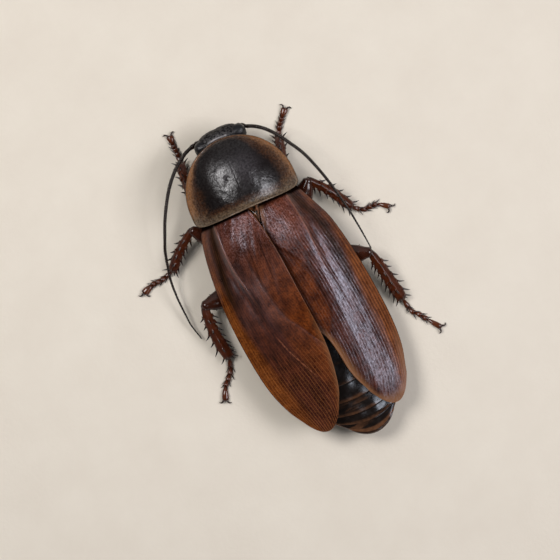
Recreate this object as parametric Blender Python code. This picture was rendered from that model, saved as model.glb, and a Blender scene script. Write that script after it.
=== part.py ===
"""An adult winged wood cockroach, Panesthia angustipennis, at life size and at rest.

It stands on its six feet with the head towards -Y, its own left side towards +X and the wings
folded over the back, their tips a little apart. Sizes and places are in millimetres from a point
on the floor under the middle of the body, and turn into metres where the meshes are made. At the
end the whole animal is set so that the middle of its box lies over the origin.
"""

import math

import bmesh
import bpy
from mathutils import Matrix, Vector

MM = 0.001
GAP = 0.3
UP = Vector((0, 0, 1))

# Shield over the neck: an arch that is half an oval in front and nearly square behind
PRONOTUM_CENTRE = Vector((0.45, -12.3, 0))
PRONOTUM_HALF_WIDTH = 7.35
PRONOTUM_FRONT = 7.5
PRONOTUM_BACK = 1.85
PRONOTUM_TURN = math.radians(-2)
PRONOTUM_TOP = 9.5
PRONOTUM_ARCH = 3.6
PRONOTUM_DIP = 2.2
PRONOTUM_RIM = 0.6
PRONOTUM_CROWN = 0.5

# Trunk
PROTHORAX_EDGE = 5.2
THORAX_EDGE = 4.9
THORAX_FALL = 1.6
ABDOMEN_FRONT = -0.6
ABDOMEN_BACK = 23.15
SEGMENT_ENDS = (2.4, 5.0, 7.7, 10.4, 13.2, 16.0, 18.5, 20.7, 22.1)
SEGMENT_PROUD = 0.12

# Fore wings, folded with the left one over the right one
WING_THICKNESS = 0.5
VEIN_HEIGHT = 0.1
VEIN_HALF_SHARE = 0.02
WING_SINK = WING_THICKNESS + GAP + VEIN_HEIGHT + 0.05
LEFT_COSTAL = ((6.9, -11.1), (8.0, -8.9), (8.9, -4.4), (9.35, 1.0), (9.25, 7.0), (8.7, 12.2),
               (7.6, 15.8), (6.3, 18.2))
LEFT_SUTURAL = ((1.3, -11.1), (0.3, -8.4), (-0.3, -3.4), (-0.5, 1.5), (-0.75, 8.6),
                (-0.45, 12.3), (0.3, 15.8), (1.4, 18.2))
RIGHT_COSTAL = ((-6.0, -10.8), (-7.4, -7.4), (-8.6, -4.0), (-9.5, 2.0), (-9.95, 9.0),
                (-9.7, 14.0), (-8.6, 18.0))
RIGHT_SUTURAL = ((-1.0, -10.8), (-0.2, -8.0), (0.9, -4.0), (1.5, 1.0), (0.6, 5.6), (-1.3, 9.8),
                 (-2.0, 14.8), (-3.1, 18.0))
LEFT_TIP_BOW = 2.25
RIGHT_TIP_BOW = 2.95

# Head, whose face leans back towards the mouth: place along it, half width, half depth. The
# groove at 3.2 parts the brow from the clypeus.
HEAD_TOP = Vector((0.05, -20.55, 6.0))
HEAD_LEAN = math.radians(27)
HEAD_SQUARENESS = 0.75
HEAD_PROFILE = ((0.0, 1.2, 0.45), (0.25, 2.15, 0.88), (0.7, 2.7, 1.3), (1.4, 2.82, 1.56),
                (2.3, 2.82, 1.62), (3.05, 2.62, 1.52), (3.2, 2.45, 1.34), (3.38, 2.42, 1.42),
                (4.0, 2.15, 1.3), (4.5, 1.85, 1.1))
MOUTH_PROFILE = ((4.85, 1.7, 0.98), (5.15, 1.6, 0.9), (5.45, 1.2, 0.65))
MOUTH_END = 5.6
EYE_MIDDLE = 3.4
EYE_BULGE = 0.28
EYE_PROFILE = ((0.35, 0.22), (0.65, 0.45), (1.1, 0.6), (1.8, 0.62), (2.4, 0.48), (2.8, 0.22))

# Antennae: the socket's place on the face, the end of the thick first segment, and the flagellum,
# which runs on over the middle tibia
SOCKET = (2.0, 2.1)
SCAPE_ENDS = {"left": (3.6, -20.75, 3.0), "right": (-3.4, -20.7, 3.0)}
FLAGELLA = {
    "left": ((4.1, -20.45, 3.9), (4.93, -19.9, 4.7), (6.7, -18.6, 5.3), (8.35, -17.15, 5.3),
             (9.8, -15.4, 5.1), (11.2, -13.35, 4.5), (12.15, -11.5, 3.9), (12.85, -10.0, 3.4),
             (13.45, -8.1, 2.75), (13.95, -6.2, 2.15), (14.2, -3.6, 1.6), (14.2, -1.2, 1.2),
             (14.15, 0.3, 0.95), (13.7, 2.45, 0.65)),
    "right": ((-4.05, -20.25, 3.85), (-4.6, -19.6, 4.7), (-5.3, -18.9, 5.35), (-6.75, -17.3, 5.8),
              (-7.9, -15.65, 5.75), (-8.9, -13.5, 5.4), (-9.7, -11.1, 5.0), (-10.35, -8.5, 4.5),
              (-10.75, -6.3, 4.05), (-11.1, -4.1, 3.7), (-11.3, -1.9, 3.6), (-11.4, -0.3, 3.85),
              (-11.45, 1.5, 4.5)),
}
SCAPE_RADIUS = 0.36
FLAGELLUM_RADIUS = ((0.0, 0.29), (0.3, 0.27), (0.7, 0.25), (1.0, 0.16))
FLAGELLUM_LENGTHS = (0.0, 0.3, 0.64, 1.0)

# Legs: where each coxa is set on, its far end, the knee, the ankle and the foot's line
LEGS = {
    "front_left": {
        "coxa": (1.6, -16.1), "trochanter": (2.3, -13.2, 1.9), "knee": (6.8, -14.3, 3.3),
        "ankle": (6.1, -19.5, 1.0), "width": 0.62, "scale": 0.85,
        "foot": ((5.92, -20.95), (5.92, -21.9), (5.83, -23.5)),
    },
    "front_right": {
        "coxa": (-1.4, -16.1), "trochanter": (-1.8, -13.2, 1.9), "knee": (-5.7, -12.6, 3.3),
        "ankle": (-7.05, -17.0, 1.0), "width": 0.62, "scale": 0.85,
        "foot": ((-7.75, -18.2), (-8.35, -18.9), (-9.5, -20.1)),
    },
    "middle_left": {
        "coxa": (1.7, -9.2), "trochanter": (4.2, -6.0, 1.9), "knee": (8.6, -10.9, 3.1),
        "ankle": (13.3, -7.2, 1.0), "width": 0.67, "scale": 1.0,
        "foot": ((14.75, -6.85), (15.6, -6.8), (16.4, -6.8), (18.0, -6.2)),
    },
    "middle_right": {
        "coxa": (-1.7, -9.2), "trochanter": (-4.2, -6.1, 1.9), "knee": (-8.0, -10.2, 3.1),
        "ankle": (-11.7, -4.5, 1.0), "width": 0.67, "scale": 1.0,
        "foot": ((-12.85, -3.55), (-14.0, -3.45), (-15.0, -3.3), (-16.3, -2.3)),
    },
    "hind_left": {
        "coxa": (3.4, -4.4), "trochanter": (4.4, -0.9, 1.9), "knee": (11.5, -1.25, 3.3),
        "ankle": (11.5, 6.3, 1.0), "width": 0.78, "scale": 1.05,
        "foot": ((12.15, 7.9), (12.85, 8.75), (13.65, 9.5), (14.5, 11.25)),
    },
    "hind_right": {
        "coxa": (-3.4, -4.0), "trochanter": (-4.5, -0.3, 1.9), "knee": (-11.2, 1.9, 3.3),
        "ankle": (-12.4, 9.3, 1.0), "width": 0.78, "scale": 1.05,
        "foot": ((-12.8, 11.3), (-13.55, 12.2), (-14.3, 13.35), (-15.4, 15.0)),
    },
}
# Share of a limb's length, half width and half height, before the leg's own scale
COXA_PROFILE = ((0, 0.8, 0.5), (0.18, 1.1, 0.7), (0.5, 1.15, 0.75), (0.75, 0.85, 0.65),
                (1, 0.55, 0.5))
FEMUR_PROFILE = ((0, 0.55, 0.5), (0.2, 0.85, 0.65), (0.36, 1.18, 0.78), (0.6, 1.3, 0.8),
                 (0.8, 1.05, 0.7), (1, 0.62, 0.55))
# A foot's segments: share of its length at each one's end, and the length of the pair of points
# there; then half widths at a waist, at a segment's end and at the broad last segment
FOOT_SEGMENTS = ((0.24, 0.95), (0.42, 0.9), (0.56, 0.8), (0.65, 0.0), (1.0, 0.0))
FOOT_WAIST = 0.26
FOOT_FLARE = 0.36
FOOT_LAST = 0.43
FOOT_HEIGHT = 0.3
CLAW_LENGTH = 0.85
SPINE_ROOT = 0.2

# Materials: colour, roughness
COLOURS = {
    "shield_cuticle": ((0.045, 0.027, 0.018), 0.35),
    "body_cuticle": ((0.016, 0.012, 0.010), 0.28),
    "wing_cuticle": ((0.105, 0.034, 0.014), 0.38),
    "leg_cuticle": ((0.075, 0.020, 0.012), 0.30),
    "antenna_cuticle": ((0.030, 0.018, 0.012), 0.45),
    "eye_lens": ((0.010, 0.010, 0.012), 0.12),
}


def material(name):
    """The Principled material of that name, made once."""
    found = bpy.data.materials.get(name)
    if found:
        return found
    colour, roughness = COLOURS[name]
    made = bpy.data.materials.new(name)
    made.use_nodes = True
    shader = made.node_tree.nodes["Principled BSDF"]
    shader.inputs["Base Color"].default_value = (*colour, 1)
    shader.inputs["Roughness"].default_value = roughness
    shader.inputs["Metallic"].default_value = 0
    return made


def smooth(mesh):
    mesh.shade_smooth()
    mesh.set_sharp_from_angle(angle=math.radians(50))


def mesh_object(name, points, faces, finish):
    """An object from points in millimetres, its faces turned outwards."""
    mesh = bpy.data.meshes.new(name)
    mesh.from_pydata([Vector(p) * MM for p in points], [], faces)
    shape = bmesh.new()
    shape.from_mesh(mesh)
    bmesh.ops.recalc_face_normals(shape, faces=shape.faces)
    shape.to_mesh(mesh)
    shape.free()
    mesh.materials.append(material(finish))
    made = bpy.data.objects.new(name, mesh)
    bpy.context.scene.collection.objects.link(made)
    smooth(mesh)
    return made


# Helpers for curves and closed shapes


def eased(knots, t):
    """The value at t of a smooth curve through knots, a list of (t, value)."""
    if t <= knots[0][0]:
        return knots[0][1]
    if t >= knots[-1][0]:
        return knots[-1][1]
    i = max(k for k in range(len(knots) - 1) if knots[k][0] <= t)

    def slope(k):
        low, high = max(k - 1, 0), min(k + 1, len(knots) - 1)
        return (knots[high][1] - knots[low][1]) / (knots[high][0] - knots[low][0])

    span = knots[i + 1][0] - knots[i][0]
    s = (t - knots[i][0]) / span
    start, end = knots[i][1], knots[i + 1][1]
    return (
        (2 * s**3 - 3 * s**2 + 1) * start
        + (s**3 - 2 * s**2 + s) * span * slope(i)
        + (3 * s**2 - 2 * s**3) * end
        + (s**3 - s**2) * span * slope(i + 1)
    )


class Path:
    """A smooth line through points, read by its share of the length."""

    STEPS = 12

    def __init__(self, points):
        points = [Vector(p) for p in points]
        ends = [2 * points[0] - points[1], *points, 2 * points[-1] - points[-2]]
        self.line = [points[0]]
        for a, b, c, d in zip(ends, ends[1:], ends[2:], ends[3:]):
            for k in range(1, self.STEPS + 1):
                s = k / self.STEPS
                bend = (2 * a - 5 * b + 4 * c - d) * s**2 + (3 * b - a - 3 * c + d) * s**3
                self.line.append(b + ((c - a) * s + bend) / 2)
        self.reach = [0.0]
        for a, b in zip(self.line, self.line[1:]):
            self.reach.append(self.reach[-1] + (b - a).length)
        self.length = self.reach[-1]

    def at(self, t):
        """The point at share t of the length; before 0 and after 1 the line runs straight on."""
        wanted = t * self.length
        inner = range(1, len(self.reach) - 1)
        i = next((k for k in inner if self.reach[k] >= wanted), len(self.reach) - 1)
        a, b = self.line[i - 1], self.line[i]
        return a.lerp(b, (wanted - self.reach[i - 1]) / (self.reach[i] - self.reach[i - 1]))

    def along(self, t, step=0.02):
        return (self.at(t + step) - self.at(t - step)).normalized()


def flat_path(points):
    return Path([(x, y, 0) for x, y in points])


def ring(centre, along, half_width, half_height, sides):
    """An oval of points across a limb, its width level, with a flat at its lowest place."""
    side = UP.cross(along).normalized()
    rise = along.cross(side)
    points = []
    for k in range(sides):
        turn = 2 * math.pi * (k + 0.5) / sides - math.pi / 2
        across = side * half_width * math.cos(turn)
        points.append(Vector(centre) + across + rise * half_height * math.sin(turn))
    return points


def loft(name, rings, finish, start=None, end=None):
    """A closed body through rings of equally many points, ending in the points start and end."""
    sides = len(rings[0])
    points = [p for each in rings for p in each]
    faces = []
    for i in range(len(rings) - 1):
        for k in range(sides):
            a, b = i * sides + k, i * sides + (k + 1) % sides
            faces += [(a, b, b + sides), (a, b + sides, a + sides)]
    for pole, first in ((start, 0), (end, (len(rings) - 1) * sides)):
        if pole is None:
            pole = sum((Vector(p) for p in points[first:first + sides]), Vector()) / sides
        points.append(Vector(pole))
        for k in range(sides):
            faces.append((first + k, first + (k + 1) % sides, len(points) - 1))
    return mesh_object(name, points, faces, finish)


def mitre(before, joint, after):
    """The plane's normal at a joint that halves the turn from one limb to the next."""
    first = (Vector(joint) - Vector(before)).normalized()
    second = (Vector(after) - Vector(joint)).normalized()
    return (first + second).normalized()


def onto_plane(points, along, joint, normal, offset):
    """The points slid along the limb onto a plane set off from the joint."""
    at = Vector(joint) + normal * offset
    return [p + along * ((at - p).dot(normal) / along.dot(normal)) for p in points]


def clear_of_plane(points, along, joint, normal, step, least=GAP / 2 + 0.12):
    """The points, with those too near a joint's plane slid back along the limb."""
    moved = []
    for p in points:
        away = (p - Vector(joint)).dot(normal) * step
        slide = max(0.0, least - away) / abs(along.dot(normal))
        moved.append(p + along * (step * slide))
    return moved


def limb(name, path, profile, finish, sides=10, cuts=(None, None), dome=0.5):
    """A body along a path. profile lists (share of length, half width, half height). An end is
    cut by the plane (joint, normal) that cuts names, or else bulges by dome times its height."""
    rings = [ring(path.at(t), path.along(t), w, h, sides) for t, w, h in profile]
    poles = [None, None]
    for i, step in ((0, 1), (-1, -1)):
        along = path.along(profile[i][0])
        if cuts[i]:
            rings[i] = onto_plane(rings[i], along, *cuts[i], step * GAP / 2)
            rings[i + step] = clear_of_plane(rings[i + step], along, *cuts[i], step)
        else:
            away = -along if i == 0 else along
            poles[i] = path.at(profile[i][0]) + away * profile[i][2] * dome
    return loft(name, rings, finish, *poles)


def plate(name, top, under, finish):
    """A thin closed sheet between two grids of points, split into triangles alike on both."""
    rows, columns = len(top), len(top[0])
    count = rows * columns
    points = [p for row in top for p in row] + [p for row in under for p in row]
    faces = []
    for i in range(rows - 1):
        for j in range(columns - 1):
            a = i * columns + j
            b, c, d = a + 1, a + columns + 1, a + columns
            faces += [(a, b, c), (a, c, d)]
            faces += [(a + count, c + count, b + count), (a + count, d + count, c + count)]
    across, down = range(columns - 1), range(rows - 1)
    last = (rows - 1) * columns
    rim = [(j, j + 1) for j in across] + [(last + j + 1, last + j) for j in across]
    rim += [(i * columns + columns - 1, (i + 1) * columns + columns - 1) for i in down]
    rim += [((i + 1) * columns, i * columns) for i in down]
    for a, b in rim:
        faces += [(a, a + count, b + count), (a, b + count, b)]
    return mesh_object(name, points, faces, finish)


def oval(sides, squareness=1.0):
    """Shares (x, z) round an oval; a squareness below 1 fills out its corners."""
    points = []
    for k in range(sides):
        c, s = math.cos(2 * math.pi * k / sides), math.sin(2 * math.pi * k / sides)
        points.append((math.copysign(abs(c) ** squareness, c),
                       math.copysign(abs(s) ** squareness, s)))
    return points


def fuse(body, pieces):
    """Joins closed pieces to a body by one Boolean union and keeps its largest closed surface."""
    group = bpy.data.collections.new("fused")
    bpy.context.scene.collection.children.link(group)
    for piece in pieces:
        bpy.context.scene.collection.objects.unlink(piece)
        group.objects.link(piece)
    union = body.modifiers.new("union", "BOOLEAN")
    union.operation = "UNION"
    union.solver = "EXACT"
    union.operand_type = "COLLECTION"
    union.collection = group
    seen = body.evaluated_get(bpy.context.evaluated_depsgraph_get())
    joined = bpy.data.meshes.new_from_object(seen)
    body.modifiers.clear()
    body.data = joined
    for piece in pieces:
        bpy.data.objects.remove(piece)
    bpy.data.collections.remove(group)
    keep_largest(joined)
    smooth(joined)


def keep_largest(mesh):
    """Leaves only the closed surface with the most faces, in triangles."""
    shape = bmesh.new()
    shape.from_mesh(mesh)
    bmesh.ops.triangulate(shape, faces=shape.faces)
    bmesh.ops.dissolve_degenerate(shape, edges=shape.edges, dist=0.002 * MM)
    bmesh.ops.triangulate(shape, faces=shape.faces)
    left = set(shape.faces)
    surfaces = []
    while left:
        surface, fresh = set(), [left.pop()]
        while fresh:
            face = fresh.pop()
            surface.add(face)
            near = {other for edge in face.edges for other in edge.link_faces} & left
            left -= near
            fresh += near
        surfaces.append(surface)
    largest = max(surfaces, key=len)
    loose = [face for surface in surfaces if surface is not largest for face in surface]
    bmesh.ops.delete(shape, geom=loose, context="FACES")
    shape.to_mesh(mesh)
    shape.free()


# The shield over the neck


def pronotum_height(x, y):
    """Its upper face, at x and y from its own centre: an arch that dips towards the head."""
    arch = PRONOTUM_ARCH * (abs(x) / PRONOTUM_HALF_WIDTH) ** 2.2
    front = PRONOTUM_DIP * (max(0.0, -y) / PRONOTUM_FRONT) ** 2
    back = 0.35 * (max(0.0, y) / PRONOTUM_BACK) ** 2
    return PRONOTUM_TOP - arch - front - back


def pronotum_reach(x, y):
    """How far out a place is, from 0 at the middle to 1 at the rim."""
    length = PRONOTUM_FRONT if y < 0 else PRONOTUM_BACK
    return min(1.0, math.hypot(x / PRONOTUM_HALF_WIDTH, y / length))


def pronotum_under(x, y):
    """Its lower face above a place on the floor."""
    local = Matrix.Rotation(-PRONOTUM_TURN, 3, "Z") @ (Vector((x, y, 0)) - PRONOTUM_CENTRE)
    crown = PRONOTUM_CROWN * (1 - pronotum_reach(local.x, local.y) ** 2)
    return pronotum_height(local.x, local.y) - PRONOTUM_RIM - crown


def pronotum_ring(share, under, sides=40):
    """One ring of the shield at a share of the way from its middle to its rim."""
    points = []
    turned = Matrix.Rotation(PRONOTUM_TURN, 3, "Z")
    for k in range(sides):
        c, s = math.cos(2 * math.pi * k / sides), math.sin(2 * math.pi * k / sides)
        square = 1.0 if s < 0 else 0.42
        x = PRONOTUM_HALF_WIDTH * math.copysign(abs(c) ** square, c) * share
        y = (PRONOTUM_FRONT * s if s < 0 else PRONOTUM_BACK * s**square) * share
        z = pronotum_height(x, y) - 0.25 * share**8
        if under:
            z -= PRONOTUM_RIM + PRONOTUM_CROWN * (1 - pronotum_reach(x, y) ** 2)
        points.append(turned @ Vector((x, y, z)) + PRONOTUM_CENTRE)
    return points


def make_pronotum():
    shares = (0.2, 0.45, 0.68, 0.86, 0.96, 1.0)
    rings = [pronotum_ring(share, False) for share in shares]
    rings += [pronotum_ring(share, True) for share in reversed(shares)]
    top = PRONOTUM_CENTRE + UP * PRONOTUM_TOP
    under = top - UP * (PRONOTUM_RIM + PRONOTUM_CROWN)
    loft("pronotum", rings, "shield_cuticle", top, under)


# The folded fore wings


def wing_height(x, y):
    """The upper face of the folded wings, an arch over the back that sinks to the rear."""
    crown = eased([(-11, 7.7), (-8, 8.35), (-3, 8.6), (4, 8.4), (10, 7.7), (16, 6.7), (21, 5.7)], y)
    drop = eased([(-11, 3.85), (-5, 3.85), (2, 3.8), (12, 3.0), (20, 1.8)], y)
    half_width = eased([(-11, 7.2), (-6, 8.7), (0, 9.3), (8, 9.7), (21, 9.0)], y)
    middle = eased([(-11, 0.45), (-3, 0.0)], y)
    return crown - drop * (abs(x - middle) / half_width) ** 2.3


def wing_lean(x, y, step=0.1):
    """The upward direction square to the wings, whose z is 1."""
    slope_x = (wing_height(x + step, y) - wing_height(x - step, y)) / (2 * step)
    slope_y = (wing_height(x, y + step) - wing_height(x, y - step)) / (2 * step)
    return Vector((-slope_x, -slope_y, 1))


def right_wing_sink(x):
    """How far the right wing lies lower where the left one covers it."""
    return WING_SINK * eased([(-4.5, 0), (-1.0, 1), (3, 1)], x)


def trunk_roof(x, y):
    """The height that the trunk may reach below both wings."""
    sink = WING_SINK * eased([(-4.5, 0), (-1.0, 1), (2, 1), (4.5, 0)], x)
    return wing_height(x, y) - sink - (WING_THICKNESS + GAP) * wing_lean(x, y).length


def vein_columns():
    """Columns of a wing from outer to inner margin: (vein number or None, step off it)."""
    columns = [("margin", 0.0)]
    for vein in range(-1, 6):
        columns += [(vein, -1), (vein, 0), (vein, 1)]
    return columns + [("hem", 0.0)]


def column_share(column, t):
    """Where a column lies between the margins at share t of the wing's length."""
    vein, step = column
    if vein == "margin":
        return 0.0
    if vein == "hem":
        return 1.0
    radial = eased([(0, 0.16), (0.1, 0.27), (0.3, 0.40), (0.6, 0.45), (1, 0.48)], t)
    if vein < 0:
        middle = radial * 0.5
    else:
        middle = radial + (1 - radial) * vein / 6
    return middle + step * VEIN_HALF_SHARE


def make_wing(name, costal, sutural, bow, sink, rows=22):
    outer, inner = flat_path(costal), flat_path(sutural)
    columns = vein_columns()
    top, under = [], []
    for i in range(rows):
        t = i / (rows - 1)
        a, b = outer.at(t), inner.at(t)
        upper, lower = [], []
        for column in columns:
            share = column_share(column, t)
            flat = a.lerp(b, share)
            x, y = flat.x, flat.y + bow * t * t * 4 * share * (1 - share)
            normal = wing_lean(x, y).normalized()
            face = Vector((x, y, wing_height(x, y) - sink(x)))
            ridge = VEIN_HEIGHT if column[1] == 0 and column[0] not in ("margin", "hem") else 0
            upper.append(face + normal * ridge)
            lower.append(face - normal * WING_THICKNESS)
        top.append(upper)
        under.append(lower)
    plate(name, top, under, "wing_cuticle")


def make_wings():
    make_wing("wing_left", LEFT_COSTAL, LEFT_SUTURAL, LEFT_TIP_BOW, lambda x: 0)
    make_wing("wing_right", RIGHT_COSTAL, RIGHT_SUTURAL, RIGHT_TIP_BOW, right_wing_sink)


# The trunk under the shield and the wings


def make_prothorax(sides=24):
    """The neck and first ring of the thorax, filling the shield's vault from behind the neck."""
    profile = ((-17.4, 1.6, 0.45, 1.0), (-16.6, 2.2, 0.6, 1.3), (-15.6, 3.2, 1.0, 1.6),
               (-14.2, 4.0, 1.0, 1.7), (-12.9, 4.4, 1.0, 1.7), (-12.2, 4.2, 0.9, 1.5))
    rings = []
    for y, wide, fill, fall in profile:
        points = []
        for c, s in oval(sides):
            x = wide * c
            roof = pronotum_under(x, y) - GAP - PROTHORAX_EDGE
            z = PROTHORAX_EDGE + (roof * fill * s**0.6 if s > 0 else fall * s)
            points.append((x, y, z))
        rings.append(points)
    loft("prothorax", rings, "body_cuticle")


def thorax_half_width(y):
    return eased([(-11.8, 4.2), (-10.5, 4.9), (-8.0, 6.1), (-4.0, 6.8), (-1.0, 6.4)], y)


def thorax_under(x, y):
    """The lower face of the thorax, or of the abdomen's front, above a place on the floor."""
    share = min(1.0, abs(x) / thorax_half_width(y))
    return THORAX_EDGE - THORAX_FALL * math.sqrt(1 - share**2)


def make_thorax(sides=28):
    """The second and third rings, under the wing roots, with the scutellum between these."""
    rings = []
    for y in (-11.8, -11.2, -9.6, -7.6, -5.4, -3.2, -1.6, -1.0):
        points = []
        for c, s in oval(sides):
            x = thorax_half_width(y) * c
            lift = (trunk_roof(x, y) - THORAX_EDGE) * s**0.5 if s > 0 else THORAX_FALL * s
            points.append((x, y, THORAX_EDGE + lift))
        rings.append(points)
    body = loft("thorax", rings, "body_cuticle")
    fuse(body, [make_scutellum()])


def make_scutellum():
    """The small triangle that fills the notch between the wing roots."""
    outline = ((-0.5, -11.2), (0.75, -11.2), (0.12, -8.9))
    rings = [[(x, y, z) for x, y in outline] for z in (6.0, 7.9)]
    return loft("scutellum", rings, "body_cuticle", end=(0.12, -10.2, 8.05))


def abdomen_middle(y):
    """The abdomen bends a little to the animal's right towards its tip."""
    return eased([(0, 0), (8, -0.4), (15, -1.2), (21, -1.8), (23, -1.8)], y)


def abdomen_half_width(y):
    return eased(
        [(-1.0, 5.8), (2, 7.4), (6, 8.0), (11, 7.6), (15, 6.7), (18, 5.7), (20.1, 4.6), (21.6, 3.2)],
        y)


def abdomen_top(y):
    return trunk_roof(0, y) - SEGMENT_PROUD


def abdomen_edge(y):
    """Height of the sharp side edge, where back plates meet belly plates."""
    return eased([(-0.6, 4.9), (8, 4.1), (18, 3.3), (23, 3.2)], y)


def abdomen_bottom(y):
    return eased([(-0.6, 3.5), (3, 2.4), (8, 1.7), (16, 1.5), (21, 2.0), (22.8, 2.8)], y)


def abdomen_ring(y, proud, sides=32):
    """One ring of the abdomen: its sides lie further forward than its middle."""
    points = []
    bend = eased([(ABDOMEN_FRONT, 0.0), (4, 0.5), (14, 0.9), (ABDOMEN_BACK, 1.5)], y)
    half_width = abdomen_half_width(y - bend) + proud
    for share, z in oval(sides):
        back = y - bend * share * share
        x = abdomen_middle(back) + share * half_width
        edge = abdomen_edge(back)
        if z > 0:
            lift = (abdomen_top(back) - edge + proud) * z**0.8
        else:
            lift = (edge - abdomen_bottom(back) + proud) * z
        points.append((x, back, min(edge + lift, trunk_roof(x, back))))
    return points


def make_abdomen():
    """Back and belly plates, each overlapping the next one by its raised rear edge."""
    tuck = 0.15
    rings = [abdomen_ring(ABDOMEN_FRONT, 0)]
    for end in SEGMENT_ENDS:
        rings += [abdomen_ring(end - tuck, SEGMENT_PROUD), abdomen_ring(end, 0)]
    rings.append(abdomen_ring(ABDOMEN_BACK, 0))
    loft("abdomen", rings, "body_cuticle")


def make_cercus(name, side):
    """A short feeler under the last back plate."""
    x = abdomen_middle(ABDOMEN_BACK) + side * 1.6
    line = Path([(x, 20.9, 1.35), (x + side * 0.1, 21.6, 1.4), (x + side * 0.25, 22.3, 1.55)])
    limb(name, line, ((0, 0.34, 0.3), (0.5, 0.3, 0.28), (0.85, 0.2, 0.2)), "leg_cuticle", 8)


# The head


def head_point(x, along, out):
    """A point of the head: x across, along from its top towards the mouth, out of the face."""
    axis = Vector((0, math.sin(HEAD_LEAN), -math.cos(HEAD_LEAN)))
    face = Vector((0, -math.cos(HEAD_LEAN), -math.sin(HEAD_LEAN)))
    return HEAD_TOP + Vector((x, 0, 0)) + axis * along + face * out


def head_ring(along, half_width, half_depth, sides=24):
    shape = oval(sides, HEAD_SQUARENESS)
    return [head_point(half_width * c, along, half_depth * s) for c, s in shape]


def face_point(x, along):
    """The point of the face's surface at x across."""
    half_width = eased([(t, w) for t, w, d in HEAD_PROFILE], along)
    half_depth = eased([(t, d) for t, w, d in HEAD_PROFILE], along)
    c = (abs(x) / half_width) ** (1 / HEAD_SQUARENESS)
    return head_point(x, along, half_depth * math.sqrt(1 - c * c) ** HEAD_SQUARENESS)


def face_normal(x, along, step=0.1):
    across = face_point(x + step, along) - face_point(x - step, along)
    down = face_point(x, along + step) - face_point(x, along - step)
    return down.cross(across).normalized()


def make_head():
    loft("head", [head_ring(*each) for each in HEAD_PROFILE], "body_cuticle")
    loft("mouthparts", [head_ring(*each, 12) for each in MOUTH_PROFILE], "body_cuticle",
         end=head_point(0, MOUTH_END, 0))


def make_eye(name, side):
    """A compound eye, long and slightly bulging, on the upper side of the head."""
    rings = [
        [head_point(side * (EYE_MIDDLE + EYE_BULGE * c), along, half * s)
         for c, s in oval(10)]
        for along, half in EYE_PROFILE
    ]
    loft(name, rings, "eye_lens")


def make_palp(name, side):
    """A feeler of the mouth, in three stout segments."""
    line = Path([head_point(side * x, along, out) for x, along, out in
                 ((2.0, 5.2, 0.0), (2.6, 5.1, 0.4), (3.0, 4.7, 1.2), (2.8, 4.4, 2.0), (2.3, 4.8, 2.4))])
    profile = [(0.0, 0.26), (0.3, 0.3), (0.36, 0.26), (0.62, 0.32), (0.68, 0.26), (0.88, 0.34)]
    limb(name, line, [(t, r, r) for t, r in profile], "leg_cuticle", 8)


def make_antenna(side):
    """A thick first segment, set on the face, and three lengths of a long, thin flagellum."""
    flank = 1 if side == "left" else -1
    x, along = SOCKET
    normal = face_normal(flank * x, along)
    root = face_point(flank * x, along) + normal * GAP / 2
    joint = SCAPE_ENDS[side]
    turn = (joint, mitre(root, joint, FLAGELLA[side][0]))
    line = Path([joint, *FLAGELLA[side]])
    profile = [(t, SCAPE_RADIUS * r, SCAPE_RADIUS * r) for t, r in ((0, 0.8), (0.6, 1), (1, 0.85))]
    limb(f"antenna_{side}_base", Path([root, joint]), profile, "antenna_cuticle", 8,
         ((root, normal), turn), dome=0)
    half_gap = GAP / 2 / line.length
    for number, (start, end) in enumerate(zip(FLAGELLUM_LENGTHS, FLAGELLUM_LENGTHS[1:]), 1):
        first = start if start == 0 else start + half_gap
        last = end if end == 1 else end - half_gap
        shares = [first + (last - first) * k / 9 for k in range(10)]
        profile = [(t, eased(FLAGELLUM_RADIUS, t), eased(FLAGELLUM_RADIUS, t)) for t in shares]
        cut = turn if start == 0 else None
        limb(f"antenna_{side}_{number}", line, profile, "antenna_cuticle", 6, (cut, None), dome=0)


# The legs


def spine(root, tip, radius=SPINE_ROOT, sides=5):
    """A thorn: a thin cone from root to tip."""
    root, tip = Vector(root), Vector(tip)
    along = (tip - root).normalized()
    return loft("spine", [ring(root, along, radius, radius, sides)], "leg_cuticle", end=tip)


def scaled(profile, scale):
    return [(t, w * scale, h * scale) for t, w, h in profile]


def coxa_start(leg, scale):
    """A coxa lies close under the trunk, a gap below it."""
    x, y = leg["coxa"]
    inner = max(0.0, abs(x) - 1)
    if y < -12:
        share = min(1.0, inner / 3.2)
        under = PROTHORAX_EDGE - 1.5 * math.sqrt(1 - share**2)
    else:
        under = thorax_under(inner, y)
    return Vector((x, y, under - GAP - COXA_PROFILE[2][2] * scale))


def make_leg(name, leg):
    scale = leg["scale"]
    base = coxa_start(leg, scale)
    hip, knee, ankle = (Vector(leg[part]) for part in ("trochanter", "knee", "ankle"))
    toe = Vector((*leg["foot"][0], FOOT_HEIGHT))
    hip_cut = (hip, mitre(base, hip, knee))
    knee_cut = (knee, mitre(hip, knee, ankle))
    ankle_cut = (ankle, mitre(knee, ankle, toe))
    limb(f"{name}_coxa", Path([base, hip]), scaled(COXA_PROFILE, scale), "leg_cuticle", 12,
         (None, hip_cut), dome=0.3)
    limb(f"{name}_femur", Path([hip, knee]), scaled(FEMUR_PROFILE, scale), "leg_cuticle", 12,
         (hip_cut, knee_cut))
    make_tibia(f"{name}_tibia", leg, knee, ankle, knee_cut, ankle_cut)
    make_foot(f"{name}_tarsus", leg, ankle, ankle_cut)


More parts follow.
